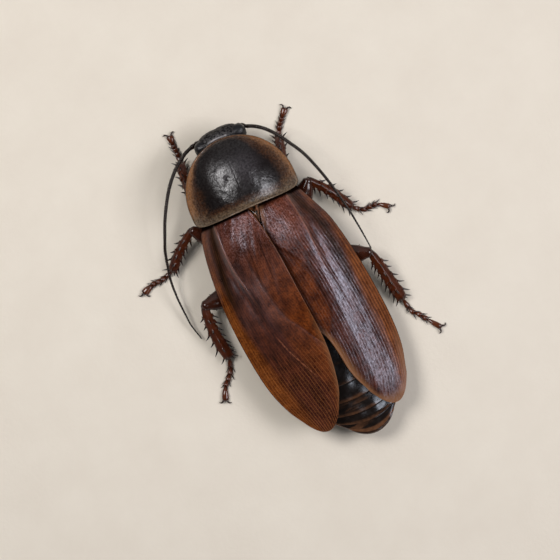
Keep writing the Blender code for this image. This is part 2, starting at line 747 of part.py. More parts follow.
def make_tibia(name, leg, knee, ankle, knee_cut, ankle_cut):
    w = leg["width"]
    line = Path([knee, ankle])
    profile = ((0, 0.5, 0.45), (0.18, 0.85 * w, 0.5), (0.5, 0.95 * w, 0.52),
               (0.88, w, 0.52), (1, 0.8 * w, 0.42))
    body = limb(name, line, profile, "leg_cuticle", 10, (knee_cut, ankle_cut))
    along = line.along(0.5)
    side = UP.cross(along).normalized()
    outward = 1 if side.dot(Vector((knee.x, 0, 0))) > 0 else -1
    rise = along.cross(side)
    count = round(line.length * 0.85)
    thorns = []
    for flank, number, length in ((outward, count - 1, 1.15), (-outward, count, 1.05)):
        for k in range(number):
            t = 0.2 + 0.68 * (k + 0.35 * (flank > 0)) / number
            root = line.at(t) + side * flank * (w * 0.55)
            lean = side * flank * 0.72 + along * 0.66 + rise * 0.18
            thorns.append(spine(root, root + lean.normalized() * (length + 0.4)))
    for k in range(3):
        root = line.at(0.3 + 0.22 * k) + rise * 0.25
        lean = rise * 0.7 + along * 0.7
        thorns.append(spine(root, root + lean.normalized() * 1.15))
    for flank in (1, -1):
        root = line.at(0.93) + side * flank * (w * 0.45)
        lean = side * flank * 0.85 + along * 0.6 + rise * 0.15
        thorns.append(spine(root, root + lean.normalized() * 1.6))
    fuse(body, thorns)


def foot_rings():
    """Share of the foot's length, half width and lift off the floor of each of its rings."""
    rings = []
    start = 0.0
    for end, _ in FOOT_SEGMENTS[:-1]:
        rings += [(start + 0.03, FOOT_WAIST, 0.1), (end - 0.05, FOOT_FLARE, 0), (end, 0.3, 0.05)]
        start = end
    rings += [(0.69, FOOT_WAIST, 0.1), (0.8, FOOT_LAST, 0), (0.93, FOOT_LAST, 0), (1.0, 0.28, 0.05)]
    return [each for each in rings if each[0] > 0.12]


def make_foot(name, leg, ankle, ankle_cut, sides=8):
    """Five tarsal segments, most with a pair of points at the end, and two claws. Each segment
    stands on a small flat."""
    line = flat_path([(ankle.x, ankle.y), *leg["foot"]])
    slope = (Vector((*leg["foot"][0], FOOT_HEIGHT)) - ankle).normalized()
    rings = [onto_plane(ring(ankle, slope, 0.27, 0.27, sides), slope, *ankle_cut, GAP / 2)]
    for t, r, lift in foot_rings():
        height = FOOT_HEIGHT * min(1.0, r / FOOT_FLARE)
        flat = height * math.cos(math.pi / sides)
        rings.append(ring(line.at(t) + UP * (flat + lift), line.along(t), r, height, sides))
    body = loft(name, rings, "leg_cuticle")
    pieces = []
    for flank in (1, -1):
        for end, length in FOOT_SEGMENTS:
            if length:
                pieces.append(foot_point(line, end - 0.05, flank, length))
        pieces.append(claw(line, flank))
    fuse(body, pieces)


def foot_point(line, t, flank, length):
    """A sharp point that leans out from the end of a foot's segment."""
    along = line.along(t)
    side = UP.cross(along).normalized() * flank
    root = line.at(t) + side * 0.12 + UP * 0.3
    lean = along * 0.8 + side * 0.62 - UP * 0.12
    return spine(root, root + lean.normalized() * (length + 0.15), 0.17)


def claw(line, flank):
    """A hooked claw that spreads sideways from the foot's end and curls down to the floor."""
    along = line.along(1.0)
    side = UP.cross(along).normalized() * flank
    root = line.at(0.96) + side * 0.14 + UP * 0.34
    bend = root + (along * 0.5 + side * 0.42) * CLAW_LENGTH
    tip = bend + (along * 0.1 + side * 0.46 - UP * 0.28) * CLAW_LENGTH
    rings = [ring(root, (bend - root).normalized(), 0.2, 0.2, 5),
             ring(bend, (tip - root).normalized(), 0.14, 0.14, 5)]
    return loft("claw", rings, "leg_cuticle", end=tip)


# The whole animal


def clear_scene():
    for old in list(bpy.data.objects):
        bpy.data.objects.remove(old)


def set_over_origin():
    """Moves every node so that the middle of the whole box lies over the origin."""
    nodes = list(bpy.context.scene.objects)
    corners = [v.co for o in nodes for v in o.data.vertices]
    middle = Vector((
        (min(c.x for c in corners) + max(c.x for c in corners)) / 2,
        (min(c.y for c in corners) + max(c.y for c in corners)) / 2,
        min(c.z for c in corners),
    ))
    for o in nodes:
        o.data.transform(Matrix.Translation(-middle))


def main():
    clear_scene()
    make_pronotum()
    make_wings()
    make_prothorax()
    make_thorax()
    make_abdomen()
    make_head()
    for name, side in (("left", 1), ("right", -1)):
        make_eye(f"eye_{name}", side)
        make_palp(f"palp_{name}", side)
        make_cercus(f"cercus_{name}", side)
        make_antenna(name)
    for name, leg in LEGS.items():
        make_leg(name, leg)
    set_over_origin()


main()
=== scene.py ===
import math
import random

import bmesh
import bpy
import numpy as np
from mathutils import Matrix, Vector


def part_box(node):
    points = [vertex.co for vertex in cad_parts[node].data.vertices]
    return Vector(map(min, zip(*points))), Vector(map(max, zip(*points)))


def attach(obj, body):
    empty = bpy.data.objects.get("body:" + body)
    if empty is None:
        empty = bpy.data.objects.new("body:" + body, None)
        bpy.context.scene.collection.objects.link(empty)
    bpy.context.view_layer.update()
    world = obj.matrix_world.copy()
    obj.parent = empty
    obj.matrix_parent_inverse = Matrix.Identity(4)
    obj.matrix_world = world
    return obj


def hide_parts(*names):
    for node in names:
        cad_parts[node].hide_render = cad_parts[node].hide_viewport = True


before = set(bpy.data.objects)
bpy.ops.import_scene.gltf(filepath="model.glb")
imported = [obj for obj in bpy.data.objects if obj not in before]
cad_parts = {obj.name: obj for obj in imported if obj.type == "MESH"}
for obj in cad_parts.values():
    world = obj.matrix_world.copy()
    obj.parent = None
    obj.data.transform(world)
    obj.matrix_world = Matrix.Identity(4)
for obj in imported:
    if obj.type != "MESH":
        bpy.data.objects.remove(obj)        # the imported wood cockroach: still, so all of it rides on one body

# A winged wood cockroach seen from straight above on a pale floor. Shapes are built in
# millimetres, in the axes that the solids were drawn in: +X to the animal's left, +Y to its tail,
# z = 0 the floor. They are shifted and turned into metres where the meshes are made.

MM = 0.001
UP = np.array((0.0, 0.0, 1.0))
FLANK = {"left": 1, "right": -1}
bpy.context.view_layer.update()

# The drawing's origin lies this far from the frame's, read from where the pronotum stands
PRONOTUM_BOX_MIDDLE = np.array((0.46, -15.13))
PRONOTUM_LOW, PRONOTUM_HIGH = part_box("pronotum")
SHIFT = np.array((*((np.array(PRONOTUM_LOW) + PRONOTUM_HIGH)[:2] / 2 / MM - PRONOTUM_BOX_MIDDLE), 0))

# Camera: the photograph looks straight down, turned so that the head points up and to the left
IMAGE_RIGHT = np.array((-0.899, 0.438, 0.0))
IMAGE_UP = np.array((-0.438, -0.899, 0.0))
CAMERA_CENTRE = np.array((1.03, 0.02, 5.0))
CAMERA_VIEW = 72.8
CAMERA_LENS = 150
CAMERA_SENSOR = 36

# Pronotum: an arch that is half an oval in front and nearly square behind
PRONOTUM_CENTRE = np.array((0.45, -12.3, 0.0))
PRONOTUM_HALF_WIDTH = 7.35
PRONOTUM_FRONT = 7.5
PRONOTUM_BACK = 2.3
PRONOTUM_TURN = math.radians(-2)
PRONOTUM_TOP = 9.5
PRONOTUM_ARCH = 3.6
PRONOTUM_DIP = 2.2
PRONOTUM_EDGE = 0.28
PRONOTUM_CROWN = 0.8
# Its pits as (x, y, depth, size), and its glossy and dull places as (x, y, size, gain)
SHIELD_PITS = ((1.0, -2.3, 0.08, 0.30), (-1.0, -2.3, 0.03, 0.35), (1.1, -1.9, 0.09, 1.0),
               (-0.9, -0.1, 0.09, 0.7), (0.1, -5.6, 0.06, 1.1))
SHIELD_GLOSS = ((1.1, -3.7, 1.6, 0.7), (1.5, -0.8, 1.25, 0.7), (-3.2, 0.5, 2.0, 0.6),
                (-1.5, -3.0, 1.6, 0.3), (-3.9, -2.2, 1.5, -0.4), (4.2, -1.6, 1.6, -0.3))

# Fore wings: costal margins lie outside and sutural ones inside, about WING_WIDTH apart
WING_ROWS, WING_COLUMNS = 230, 175
WING_WIDTH = 9.3
WING_EDGE = 0.14
WING_BODY = 0.36
WING_SINK = 0.95
LEFT_COSTAL = ((6.9, -11.1), (8.0, -8.9), (8.9, -4.4), (9.35, 1.0), (9.25, 7.0), (8.7, 12.2),
               (7.6, 15.8), (6.3, 18.2))
LEFT_SUTURAL = ((1.3, -11.1), (0.3, -8.4), (-0.3, -3.4), (-0.5, 1.5), (-0.75, 8.6),
                (-0.45, 12.3), (0.3, 15.8), (1.4, 18.2))
RIGHT_COSTAL = ((-6.0, -10.8), (-7.4, -7.4), (-8.6, -4.0), (-9.5, 2.0), (-9.95, 9.0),
                (-9.7, 14.0), (-8.6, 18.0))
RIGHT_SUTURAL = ((-1.0, -10.8), (-0.2, -8.0), (0.9, -4.0), (1.5, 1.0), (0.6, 5.6), (-1.3, 9.8),
                 (-2.0, 14.8), (-3.1, 18.0))
# Folds at the left wing's base, painted as lines of shade, and its pale vein, as (share of length, share of
# width)
BASE_FOLDS = (((0.08, 0.70), (0.18, 0.668), (0.36, 0.60)),
              ((0.08, 0.865), (0.23, 0.822), (0.36, 0.775)))
PALE_VEIN = ((0.56, 0.454), (0.65, 0.53), (0.75, 0.66), (0.79, 0.72))
LEFT_TIP_BOW = 2.25
RIGHT_TIP_BOW = 2.95

# Trunk; GAP is the clear space that the solids leave between neighbours
GAP = 0.3
PROTHORAX_EDGE = 5.2
THORAX_EDGE = 4.9
THORAX_FALL = 1.6
THORAX_ENDS = (-18.7, 0.3)
THORAX_GROOVES = (-17.2, -12.1, -7.9, -3.3)
# The neck's places as (y, half width, how high its back fills the shield, how deep it hangs)
NECK = ((-18.7, 1.15, 0.35, 0.7), (-18.1, 1.3, 0.4, 0.9), (-17.4, 1.6, 0.45, 1.0),
        (-16.6, 2.2, 0.6, 1.3), (-15.6, 3.2, 1.0, 1.6), (-14.2, 4.0, 1.0, 1.7),
        (-12.9, 4.4, 1.0, 1.7), (-12.0, 4.4, 0.95, 1.6))
ABDOMEN_FRONT = -0.9
ABDOMEN_BACK = 23.15
SCUTELLUM_FOOT = 6.2
SCUTELLUM_CORNERS = np.array(((-1.15, -11.3), (1.4, -11.3), (0.05, -7.8)))
SEGMENT_ENDS = (2.4, 5.0, 7.7, 10.4, 13.2, 15.9, 18.2, 20.2, 21.6)
# One segment of each kind of feeler, as (share of its length, share of its radius)
CERCUS_BEAD = ((0.05, 0.86), (0.3, 1.0), (0.75, 1.04), (0.97, 0.88))
PALP_BEAD = ((0.03, 0.6), (0.2, 0.78), (0.6, 0.95), (0.85, 1.12), (0.97, 0.8))
FLAGELLUM_BEAD = ((0.04, 0.84), (0.22, 0.97), (0.7, 1.05), (0.93, 0.95))
CERCUS_RADIUS = 0.34
CERCUS_JOINTS = 9

# Head, whose face leans back towards the mouth
HEAD_TOP = np.array((0.05, -20.55, 6.0))
HEAD_LEAN = math.radians(27)
HEAD_SQUARENESS = 0.7
HEAD_PROFILE = ((0.0, 1.2, 0.45), (0.25, 2.15, 0.88), (0.7, 2.7, 1.3), (1.4, 2.82, 1.56),
                (2.3, 2.82, 1.62), (3.05, 2.62, 1.52), (3.2, 2.52, 1.4), (3.38, 2.45, 1.42),
                (4.0, 2.15, 1.3), (4.6, 1.85, 1.1))
EYE_PROFILE = ((0.3, 0.35), (0.45, 0.62), (0.8, 0.92), (1.3, 1.06), (1.8, 1.04), (2.3, 0.85),
               (2.65, 0.55), (2.8, 0.3))
EYE_ENDS = (0.3, 2.85)
EYE_SQUARENESS = 0.85
EYE_MIDDLE = 2.3
EYE_REACH = 3.62
EYE_BACK = 0.22
# Mouthparts as (x, out of the face, half width, half depth, start and end along the head, tint)
MOUTHPARTS = ((0.0, 0.55, 1.15, 0.32, 4.3, 5.5, 0.8), (0.75, 0.1, 0.75, 0.55, 4.2, 5.45, 0.25),
              (-0.75, 0.1, 0.75, 0.55, 4.2, 5.45, 0.25), (0.0, -0.45, 1.2, 0.35, 4.2, 5.6, 0.5))
# The palps' line as (x, along the head, out of the face), and its joints as shares of its length
PALP_LINE = ((1.9, 4.9, 0.0), (2.6, 5.0, 0.4), (3.0, 4.7, 1.2), (2.8, 4.4, 2.0), (2.3, 4.8, 2.4))
PALP_JOINTS = (0.0, 0.12, 0.24, 0.5, 0.74, 1.0)
PALP_RADIUS = 0.25

# Antennae
SOCKET = (2.0, 2.1)
SCAPE_ENDS = {"left": (3.35, -20.75, 3.1), "right": (-3.2, -20.5, 3.1)}
FLAGELLA = {
    "left": ((4.12, -20.5, 3.9), (5.0, -20.12, 4.6), (6.65, -19.05, 5.2), (8.25, -17.55, 5.3),
             (9.6, -15.85, 5.1), (11.05, -13.6, 4.5), (12.15, -11.45, 3.9), (12.85, -10.0, 3.4),
             (13.45, -8.1, 2.75), (13.95, -6.2, 2.15), (14.2, -3.6, 1.6), (14.2, -1.2, 1.2),
             (14.15, 0.3, 0.95), (13.7, 2.45, 0.65)),
    "right": ((-3.72, -20.02, 3.8), (-4.44, -19.62, 4.45), (-5.15, -19.12, 5.0), (-6.0, -18.3, 5.4),
              (-6.9, -17.1, 5.75), (-7.85, -15.5, 5.75), (-8.9, -13.5, 5.4), (-9.7, -11.1, 5.0),
              (-10.35, -8.5, 4.5), (-10.75, -6.3, 4.05), (-11.1, -4.1, 3.7), (-11.3, -1.9, 3.6),
              (-11.4, -0.3, 3.85), (-11.45, 1.5, 4.5)),
}
# Its segments as shares of its length: the first one, the next and how they grow from there
PEDICEL_LENGTH = 0.028
SEGMENT_LENGTH = 0.0085
SEGMENT_GROWTH = 0.0075
FLAGELLUM_RADIUS = ((0.0, 0.25), (0.25, 0.24), (0.6, 0.19), (1.0, 0.085))

# Legs: where each coxa is set on, its far end, the knee, the ankle and the foot's line
LEGS = {
    "front_left": {
        "coxa": (1.6, -16.1), "trochanter": (2.3, -13.2, 1.9), "knee": (6.8, -14.3, 3.3),
        "ankle": (6.1, -19.5, 1.0), "width": 0.62, "scale": 0.85,
        "bow": 0.1, "toe": 1.0, "claw_turn": 0.0,
        "foot": ((5.92, -20.95), (5.92, -21.9), (5.83, -23.5)),
    },
    "front_right": {
        "coxa": (-1.4, -16.1), "trochanter": (-1.8, -13.2, 1.9), "knee": (-5.7, -12.6, 3.3),
        "ankle": (-7.05, -17.0, 1.0), "width": 0.62, "scale": 0.85,
        "bow": 0.1, "toe": 1.0, "claw_turn": 0.0,
        "foot": ((-7.75, -18.2), (-8.35, -18.9), (-9.5, -20.1)),
    },
    "middle_left": {
        "coxa": (1.7, -9.2), "trochanter": (4.2, -6.0, 1.9), "knee": (8.6, -10.9, 3.1),
        "ankle": (13.3, -7.2, 1.0), "width": 0.67, "scale": 1.0,
        "bow": 0.25, "toe": 1.08, "claw_turn": 0.75,
        "foot": ((14.75, -6.85), (15.6, -6.8), (16.4, -6.8), (18.0, -6.2)),
    },
    "middle_right": {
        "coxa": (-1.7, -9.2), "trochanter": (-4.2, -6.1, 1.9), "knee": (-8.0, -10.2, 3.1),
        "ankle": (-11.7, -4.5, 1.0), "width": 0.67, "scale": 1.0,
        "bow": 0.28, "toe": 0.8, "claw_turn": -0.5,
        "foot": ((-12.85, -3.55), (-14.0, -3.45), (-15.0, -3.3), (-16.3, -2.3)),
    },
    "hind_left": {
        "coxa": (3.4, -4.4), "trochanter": (4.4, -0.9, 1.9), "knee": (11.5, -1.25, 3.3),
        "ankle": (11.5, 6.3, 1.0), "width": 0.78, "scale": 1.05,
        "bow": 0.33, "toe": 0.95, "claw_turn": 0.0,
        "foot": ((12.15, 7.9), (12.85, 8.75), (13.65, 9.5), (14.5, 11.25)),
    },
    "hind_right": {
        "coxa": (-3.4, -4.0), "trochanter": (-4.5, -0.3, 1.9), "knee": (-11.2, 1.9, 3.3),
        "ankle": (-12.4, 9.3, 1.0), "width": 0.78, "scale": 1.05,
        "bow": 0.05, "toe": 0.8, "claw_turn": 0.0,
        "foot": ((-12.8, 11.3), (-13.55, 12.2), (-14.3, 13.35), (-15.4, 15.0)),
    },
}
COXA_PROFILE = ((-0.08, 0.1, 0.1), (0, 0.8, 0.5), (0.18, 1.1, 0.7), (0.5, 1.15, 0.75),
                (0.75, 0.85, 0.65), (1, 0.55, 0.5), (1.04, 0.3, 0.3))
FEMUR_PROFILE = ((-0.03, 0.3, 0.3), (0, 0.5, 0.45), (0.2, 0.85, 0.65), (0.36, 1.18, 0.78),
                 (0.6, 1.3, 0.8), (0.8, 1.05, 0.7), (0.93, 0.72, 0.58), (1.0, 0.6, 0.5),
                 (1.04, 0.2, 0.2))
# The foot's segments as (end as a share of its length, length of their points)
FOOT_SEGMENTS = ((0.22, 1.05), (0.38, 1.05), (0.53, 1.0), (0.66, 0.9), (1.0, 0.0))
FOOT_HEIGHT = 0.3
# One segment's places as shares of its length, and its half widths there
SEGMENT_SHARES = np.array((0.0, 0.06, 0.16, 0.35, 0.6, 0.8, 0.92, 1.0))
TOE_GIRTH = np.array((0.12, 0.18, 0.25, 0.36, 0.45, 0.48, 0.43, 0.24))
PAD_GIRTH = np.array((0.12, 0.16, 0.20, 0.26, 0.33, 0.37, 0.33, 0.18))
CLAW_LENGTH = 0.74
# A claw's hook as shares of its length (ahead, aside), and how many millimetres it comes down
CLAW_HOOK = ((0.38, 0.2, -0.1), (0.6, 0.52, 0.02), (0.46, 0.9, 0.22))


# Numbers and curves


def eased(knots, t):
    """The value at t, a number or an array, of a smooth curve through knots (t, value)."""
    at = np.array([k[0] for k in knots], float)
    value = np.array([k[1] for k in knots], float)
    low = np.maximum(np.arange(len(at)) - 1, 0)
    high = np.minimum(np.arange(len(at)) + 1, len(at) - 1)
    slope = (value[high] - value[low]) / (at[high] - at[low])
    t = np.clip(np.asarray(t, float), at[0], at[-1])
    i = np.clip(np.searchsorted(at, t, side="right") - 1, 0, len(at) - 2)
    span = at[i + 1] - at[i]
    s = (t - at[i]) / span
    return ((2 * s**3 - 3 * s**2 + 1) * value[i] + (s**3 - 2 * s**2 + s) * span * slope[i]
            + (3 * s**2 - 2 * s**3) * value[i + 1] + (s**3 - s**2) * span * slope[i + 1])


def step(low, high, x):
    """0 below low, 1 above high and smooth between; low may be the greater one."""
    s = np.clip((np.asarray(x, float) - low) / (high - low), 0, 1)
    return s * s * (3 - 2 * s)


def bell(x, width):
    return np.exp(-((np.asarray(x, float) / width) ** 2))


def spot(x, y, at_x, at_y, size):
    """1 at one place of a plane, fading to 0 over about size."""
    return np.exp(-((x - at_x) ** 2 + (y - at_y) ** 2) / size**2)


def circle(sides):
    """The cosines and sines of the turns round a ring."""
    turn = 2 * math.pi * np.arange(sides) / sides
    return np.cos(turn), np.sin(turn)


def unit(v):
    v = np.asarray(v, float)
    return v / np.linalg.norm(v, axis=-1, keepdims=True)


def waves(x, y, size, seed, octaves=3):
    """A smooth random height from about -1 to 1 over a plane, from crossing sine waves."""
    random_turn = random.Random(seed)
    total = 0.0
    for k in range(6 * octaves):
        turn = random_turn.uniform(0, math.pi)
        length = size / (1 + k / 6) * random_turn.uniform(0.8, 1.25)
        phase = random_turn.uniform(0, 2 * math.pi)
        total = total + np.sin((x * math.cos(turn) + y * math.sin(turn)) * 2 * math.pi / length + phase)
    return total / (6 * octaves) ** 0.5 / 1.6


class Path:
    """A smooth line through points, read by its share of the length."""

    STEPS = 16

    def __init__(self, points):
        points = np.asarray(points, float)
        ends = np.vstack([2 * points[0] - points[1], points, 2 * points[-1] - points[-2]])
        line = [points[0]]
        for a, b, c, d in zip(ends, ends[1:], ends[2:], ends[3:]):
            for k in range(1, self.STEPS + 1):
                s = k / self.STEPS
                bend = (2 * a - 5 * b + 4 * c - d) * s**2 + (3 * b - a - 3 * c + d) * s**3
                line.append(b + ((c - a) * s + bend) / 2)
        self.line = np.array(line)
        gaps = np.linalg.norm(np.diff(self.line, axis=0), axis=1)
        self.reach = np.concatenate([[0], np.cumsum(gaps)])
        self.length = self.reach[-1]

    def at(self, t):
        """Points at shares t of the length; before 0 and after 1 the line runs straight on."""
        wanted = np.asarray(t, float) * self.length
        inside = np.clip(wanted, 0, self.length)
        found = np.stack([np.interp(inside, self.reach, self.line[:, k]) for k in range(3)], -1)
        before = np.minimum(wanted, 0)[..., None] * unit(self.line[1] - self.line[0])
        after = np.maximum(wanted - self.length, 0)[..., None] * unit(self.line[-1] - self.line[-2])
        return found + before + after

    def along(self, t, reach=0.02):
        t = np.asarray(t, float)
        return unit(self.at(t + reach) - self.at(t - reach))


def flat_path(points):
    return Path([(x, y, 0) for x, y in points])


# Meshes


class Shape:
    """A mesh in the making: closed surfaces in millimetres, with named numbers on their points."""

    def __init__(self):
        self.points, self.faces, self.marks, self.count = [], [], [], 0

    def add(self, points, faces, marks):
        self.points.append(points)
        self.faces += [tuple(i + self.count for i in face) for face in faces]
        self.marks.append(marks)
        self.count += len(points)

    def piece(self, name, material, nodes, sharp=60):
        """Makes the object, dresses it and lets it take the place of the solids."""
        mesh = bpy.data.meshes.new(name)
        points = (np.vstack(self.points) + SHIFT) * MM
        mesh.from_pydata(points.tolist(), [], self.faces)
        names = {mark for marks in self.marks for mark in marks}
        for mark in sorted(names):
            values = [marks.get(mark, np.zeros(len(p))) for marks, p in zip(self.marks, self.points)]
            layer = mesh.attributes.new(mark, "FLOAT", "POINT")
            layer.data.foreach_set("value", np.concatenate(values).astype(np.float32))
        shape = bmesh.new()
        shape.from_mesh(mesh)
        bmesh.ops.recalc_face_normals(shape, faces=shape.faces)
        shape.to_mesh(mesh)
        shape.free()
        mesh.shade_smooth()
        mesh.set_sharp_from_angle(angle=math.radians(sharp))
        mesh.materials.append(material)
        made = bpy.data.objects.new(name, mesh)
        bpy.context.scene.collection.objects.link(made)
        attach(made, "root")
        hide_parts(*nodes)


def ring_faces(rows, sides, start_pole, end_pole):
    """Faces of a tube of rows rings, each closed; a pole number closes an end."""
    faces = []
    for i in range(rows - 1):
        a = i * sides
        for k in range(sides):
            n = (k + 1) % sides
            faces.append((a + k, a + n, a + sides + n, a + sides + k))
    last = (rows - 1) * sides
    faces += [(k, (k + 1) % sides, start_pole) for k in range(sides)]
    faces += [(last + k, last + (k + 1) % sides, end_pole) for k in range(sides)]
    return faces


def add_rings(shape, rings, marks, start=None, end=None):
    """Adds a closed body through rings, an array (row, side, 3), with its marks in that shape."""
    rings = np.asarray(rings, float)
    rows, sides = rings.shape[:2]
    start = rings[0].mean(0) if start is None else start
    end = rings[-1].mean(0) if end is None else end
    points = np.vstack([rings.reshape(-1, 3), start, end])
    flat = {}
    for name, value in marks.items():
        value = np.broadcast_to(value, (rows, sides))
        flat[name] = np.concatenate([value.ravel(), [value[0].mean(), value[-1].mean()]])
    shape.add(points, ring_faces(rows, sides, rows * sides, rows * sides + 1), flat)


def tube_rings(path, shares, wide, high, sides, section=None):
    """Rings across a path whose width lies level. section(turn) gives the factor on the radius."""
    shares = np.asarray(shares, float)
    centre, along = path.at(shares), path.along(shares)
    side = unit(np.cross(UP, along))
    rise = np.cross(along, side)
    turn = 2 * math.pi * np.arange(sides) / sides - math.pi / 2
    factor = np.ones(sides) if section is None else section(turn)
    across = np.cos(turn) * factor
    upward = np.sin(turn) * factor
    return (centre[:, None] + side[:, None] * (np.asarray(wide)[:, None, None] * across[:, None])
            + rise[:, None] * (np.asarray(high)[:, None, None] * upward[:, None]))


def add_thorn(shape, root, tip, radius, bend=0.12, droop=UP, flare=1.25):
    """A thorn on a wider foot, thin and a little curved, that ends in a sharp point."""
    root, tip = np.asarray(root, float), np.asarray(tip, float)
    length = np.linalg.norm(tip - root)
    middle = (root + tip) / 2 + np.asarray(droop) * bend * length
    path = Path([root, middle, tip])
    shares = np.array((0, 0.12, 0.22, 0.3, 0.5, 0.7, 0.86, 0.96))
    girth = np.array((flare, (flare + 1.2) / 2, 1.1, 0.9, 0.74, 0.52, 0.3, 0.12)) * radius
    rings = tube_rings(path, shares, girth, girth, 8)
    add_rings(shape, rings, {"dark": step(0.1, 0.5, shares)[:, None]}, end=tip)


def beads(joints, profile, radius):
    """Shares of the length and radii along a thread of segments, radius(number, start) each."""
    shares, girth = [], []
    for number, (start, end) in enumerate(zip(joints, joints[1:])):
        for s, factor in profile:
            shares.append(start + (end - start) * s)
            girth.append(radius(number, start) * factor)
    return np.array(shares), np.array(girth)


def sheet_faces(rows, columns):
    """Faces of a closed sheet: a top grid, an under grid after it, and the rim between them."""
    faces = []
    count = rows * columns
    for i in range(rows - 1):
        for j in range(columns - 1):
            a = i * columns + j
            quad = (a, a + 1, a + columns + 1, a + columns)
            faces.append(quad)
            faces.append(tuple(v + count for v in reversed(quad)))
    last = (rows - 1) * columns
    rim = [(j, j + 1) for j in range(columns - 1)]
    rim += [(last + j + 1, last + j) for j in range(columns - 1)]
    rim += [((i + 1) * columns, i * columns) for i in range(rows - 1)]
    rim += [(i * columns + columns - 1, (i + 1) * columns + columns - 1) for i in range(rows - 1)]
    faces += [(b, a, a + count, b + count) for a, b in rim]
    return faces


# Materials


class Finish:
    """A Principled material and short calls that add nodes to it."""

    def __init__(self, name, **sockets):
        self.material = bpy.data.materials.new(name)
        self.material.use_nodes = True
        self.tree = self.material.node_tree
        self.shader = self.tree.nodes["Principled BSDF"]
        self.place = self.add("ShaderNodeTexCoord").outputs["Object"]
        for socket, value in sockets.items():
            self.put(self.shader.inputs[socket.replace("_", " ")], value)

    def put(self, socket, value):
        if isinstance(value, bpy.types.NodeSocket):
            self.tree.links.new(value, socket)
        elif isinstance(value, tuple) and socket.type == "RGBA":
            socket.default_value = (*value, 1)
        else:
            socket.default_value = value

    def add(self, kind, inputs=None, **settings):
        node = self.tree.nodes.new(kind)
        for key, value in settings.items():
            setattr(node, key, value)
        for key, value in (inputs or {}).items():
            self.put(node.inputs[key], value)
        return node

    def mark(self, name):
        """The number that the mesh carries on its points under that name."""
        node = self.add("ShaderNodeAttribute", attribute_name=name)
        return node.outputs["Fac"]

    def stretched(self, size):
        """Places in units of size, (x, y, z) in millimetres."""
        scale = tuple(1 / (s * MM) for s in size)
        return self.add("ShaderNodeMapping", {"Vector": self.place, "Scale": scale}).outputs["Vector"]

    def noise(self, size, detail=3.0, rough=0.55, vector=None):
        """A number near 0.5 that varies over about size millimetres, or over one unit of vector."""
        if vector is None:
            vector = self.stretched((size, size, size))
        node = self.add("ShaderNodeTexNoise", {"Vector": vector, "Scale": 1.0, "Detail": detail,
                                               "Roughness": rough})
        return node.outputs["Fac"]

    def cells(self, vector, feature="F1"):
        node = self.add("ShaderNodeTexVoronoi", {"Vector": vector, "Scale": 1.0}, feature=feature)
        return node.outputs["Distance"]

    def range(self, value, low, high, to_low=0.0, to_high=1.0):
        node = self.add("ShaderNodeMapRange", {"Value": value, "From Min": low, "From Max": high,
                                               "To Min": to_low, "To Max": to_high},
                        interpolation_type="SMOOTHSTEP")
        return node.outputs["Result"]

    def math(self, operation, a, b=0.0):
        node = self.add("ShaderNodeMath", {0: a, 1: b}, operation=operation)
        return node.outputs[0]

    def times(self, a, b):
        return self.math("MULTIPLY", a, b)

    def plus(self, a, b):
        return self.math("ADD", a, b)

    def rest(self, share):
        """What a share leaves of 1."""
        return self.math("SUBTRACT", 1.0, share)

    def on_wing(self, width, length):
        """Places on a wing, across and along it, in units of so many millimetres."""
        inputs = {"X": self.times(self.mark("across"), 1 / width),
                  "Y": self.times(self.mark("length"), 1 / length)}
        return self.add("ShaderNodeCombineXYZ", inputs).outputs[0]

    def mix(self, share, a, b):
        node = self.add("ShaderNodeMix", {0: share, 6: a, 7: b}, data_type="RGBA")
        return node.outputs[2]

    def bump(self, height, depth, before=None):
        """Bumps of that depth in millimetres, on top of those before."""
        inputs = {"Height": height, "Strength": 1.0, "Distance": depth * MM}
        if before is not None:
            inputs["Normal"] = before
        return self.add("ShaderNodeBump", inputs).outputs["Normal"]

    def gloss(self, level):
        self.put(self.shader.inputs["Specular IOR Level"], level)

    def dress(self, colour, roughness, normal):
        self.put(self.shader.inputs["Base Color"], colour)
        self.put(self.shader.inputs["Roughness"], roughness)
        self.put(self.shader.inputs["Normal"], normal)
        return self.material


def shield_finish():
    """Black, finely grained and softly glossy, with paler amber and olive margins and a painted grey sheen on
    the disc, all opaque.
    """
    f = Finish("pronotum_cuticle")
    patchy = f.noise(2.2, 4.0, 0.65)
    speck = f.range(f.noise(0.24, 3.0, 0.7), 0.3, 0.7)
    mottle = f.math("SUBTRACT", f.noise(0.6, 5.0, 0.75), 0.5)
    disc = f.mix(patchy, (0.0032, 0.0024, 0.0026), (0.011, 0.0080, 0.0074))
    brown = f.mix(speck, (0.014, 0.0060, 0.0028), (0.066, 0.0250, 0.0095))
    amber = f.mix(speck, (0.125, 0.051, 0.016), (0.265, 0.117, 0.043))
    olive = f.mix(speck, (0.030, 0.0190, 0.0115), (0.175, 0.122, 0.074))
    # Painted sheen: a lighter grey mixed into the black disc
    grey = f.mix(speck, (0.014, 0.012, 0.014), (0.060, 0.052, 0.058))
    disc = f.mix(f.mark("grey"), disc, grey)
    colour = f.mix(f.range(f.plus(f.mark("brown"), mottle), 0.2, 1.1), disc, brown)
    margin = f.range(f.plus(f.mark("margin"), mottle), 0.15, 1.0)
    colour = f.mix(margin, colour, f.mix(f.mark("rear"), amber, olive))
    colour = f.mix(f.mark("pale"), colour, (0.27, 0.19, 0.12))
    colour = f.mix(f.mark("rim"), colour, (0.006, 0.003, 0.002))
    pits = f.range(f.cells(f.stretched((0.3, 0.3, 0.3))), 0.0, 0.62)
    grain = f.bump(pits, 0.010)
    grain = f.bump(f.noise(0.35, 3.0, 0.6), 0.005, grain)
    f.gloss(f.times(f.range(f.noise(0.3, 4.0, 0.75), 0.36, 0.64, 0.2, 0.70), f.mark("gloss")))
    return f.dress(colour, f.range(patchy, 0.3, 0.7, 0.27, 0.34), grain)


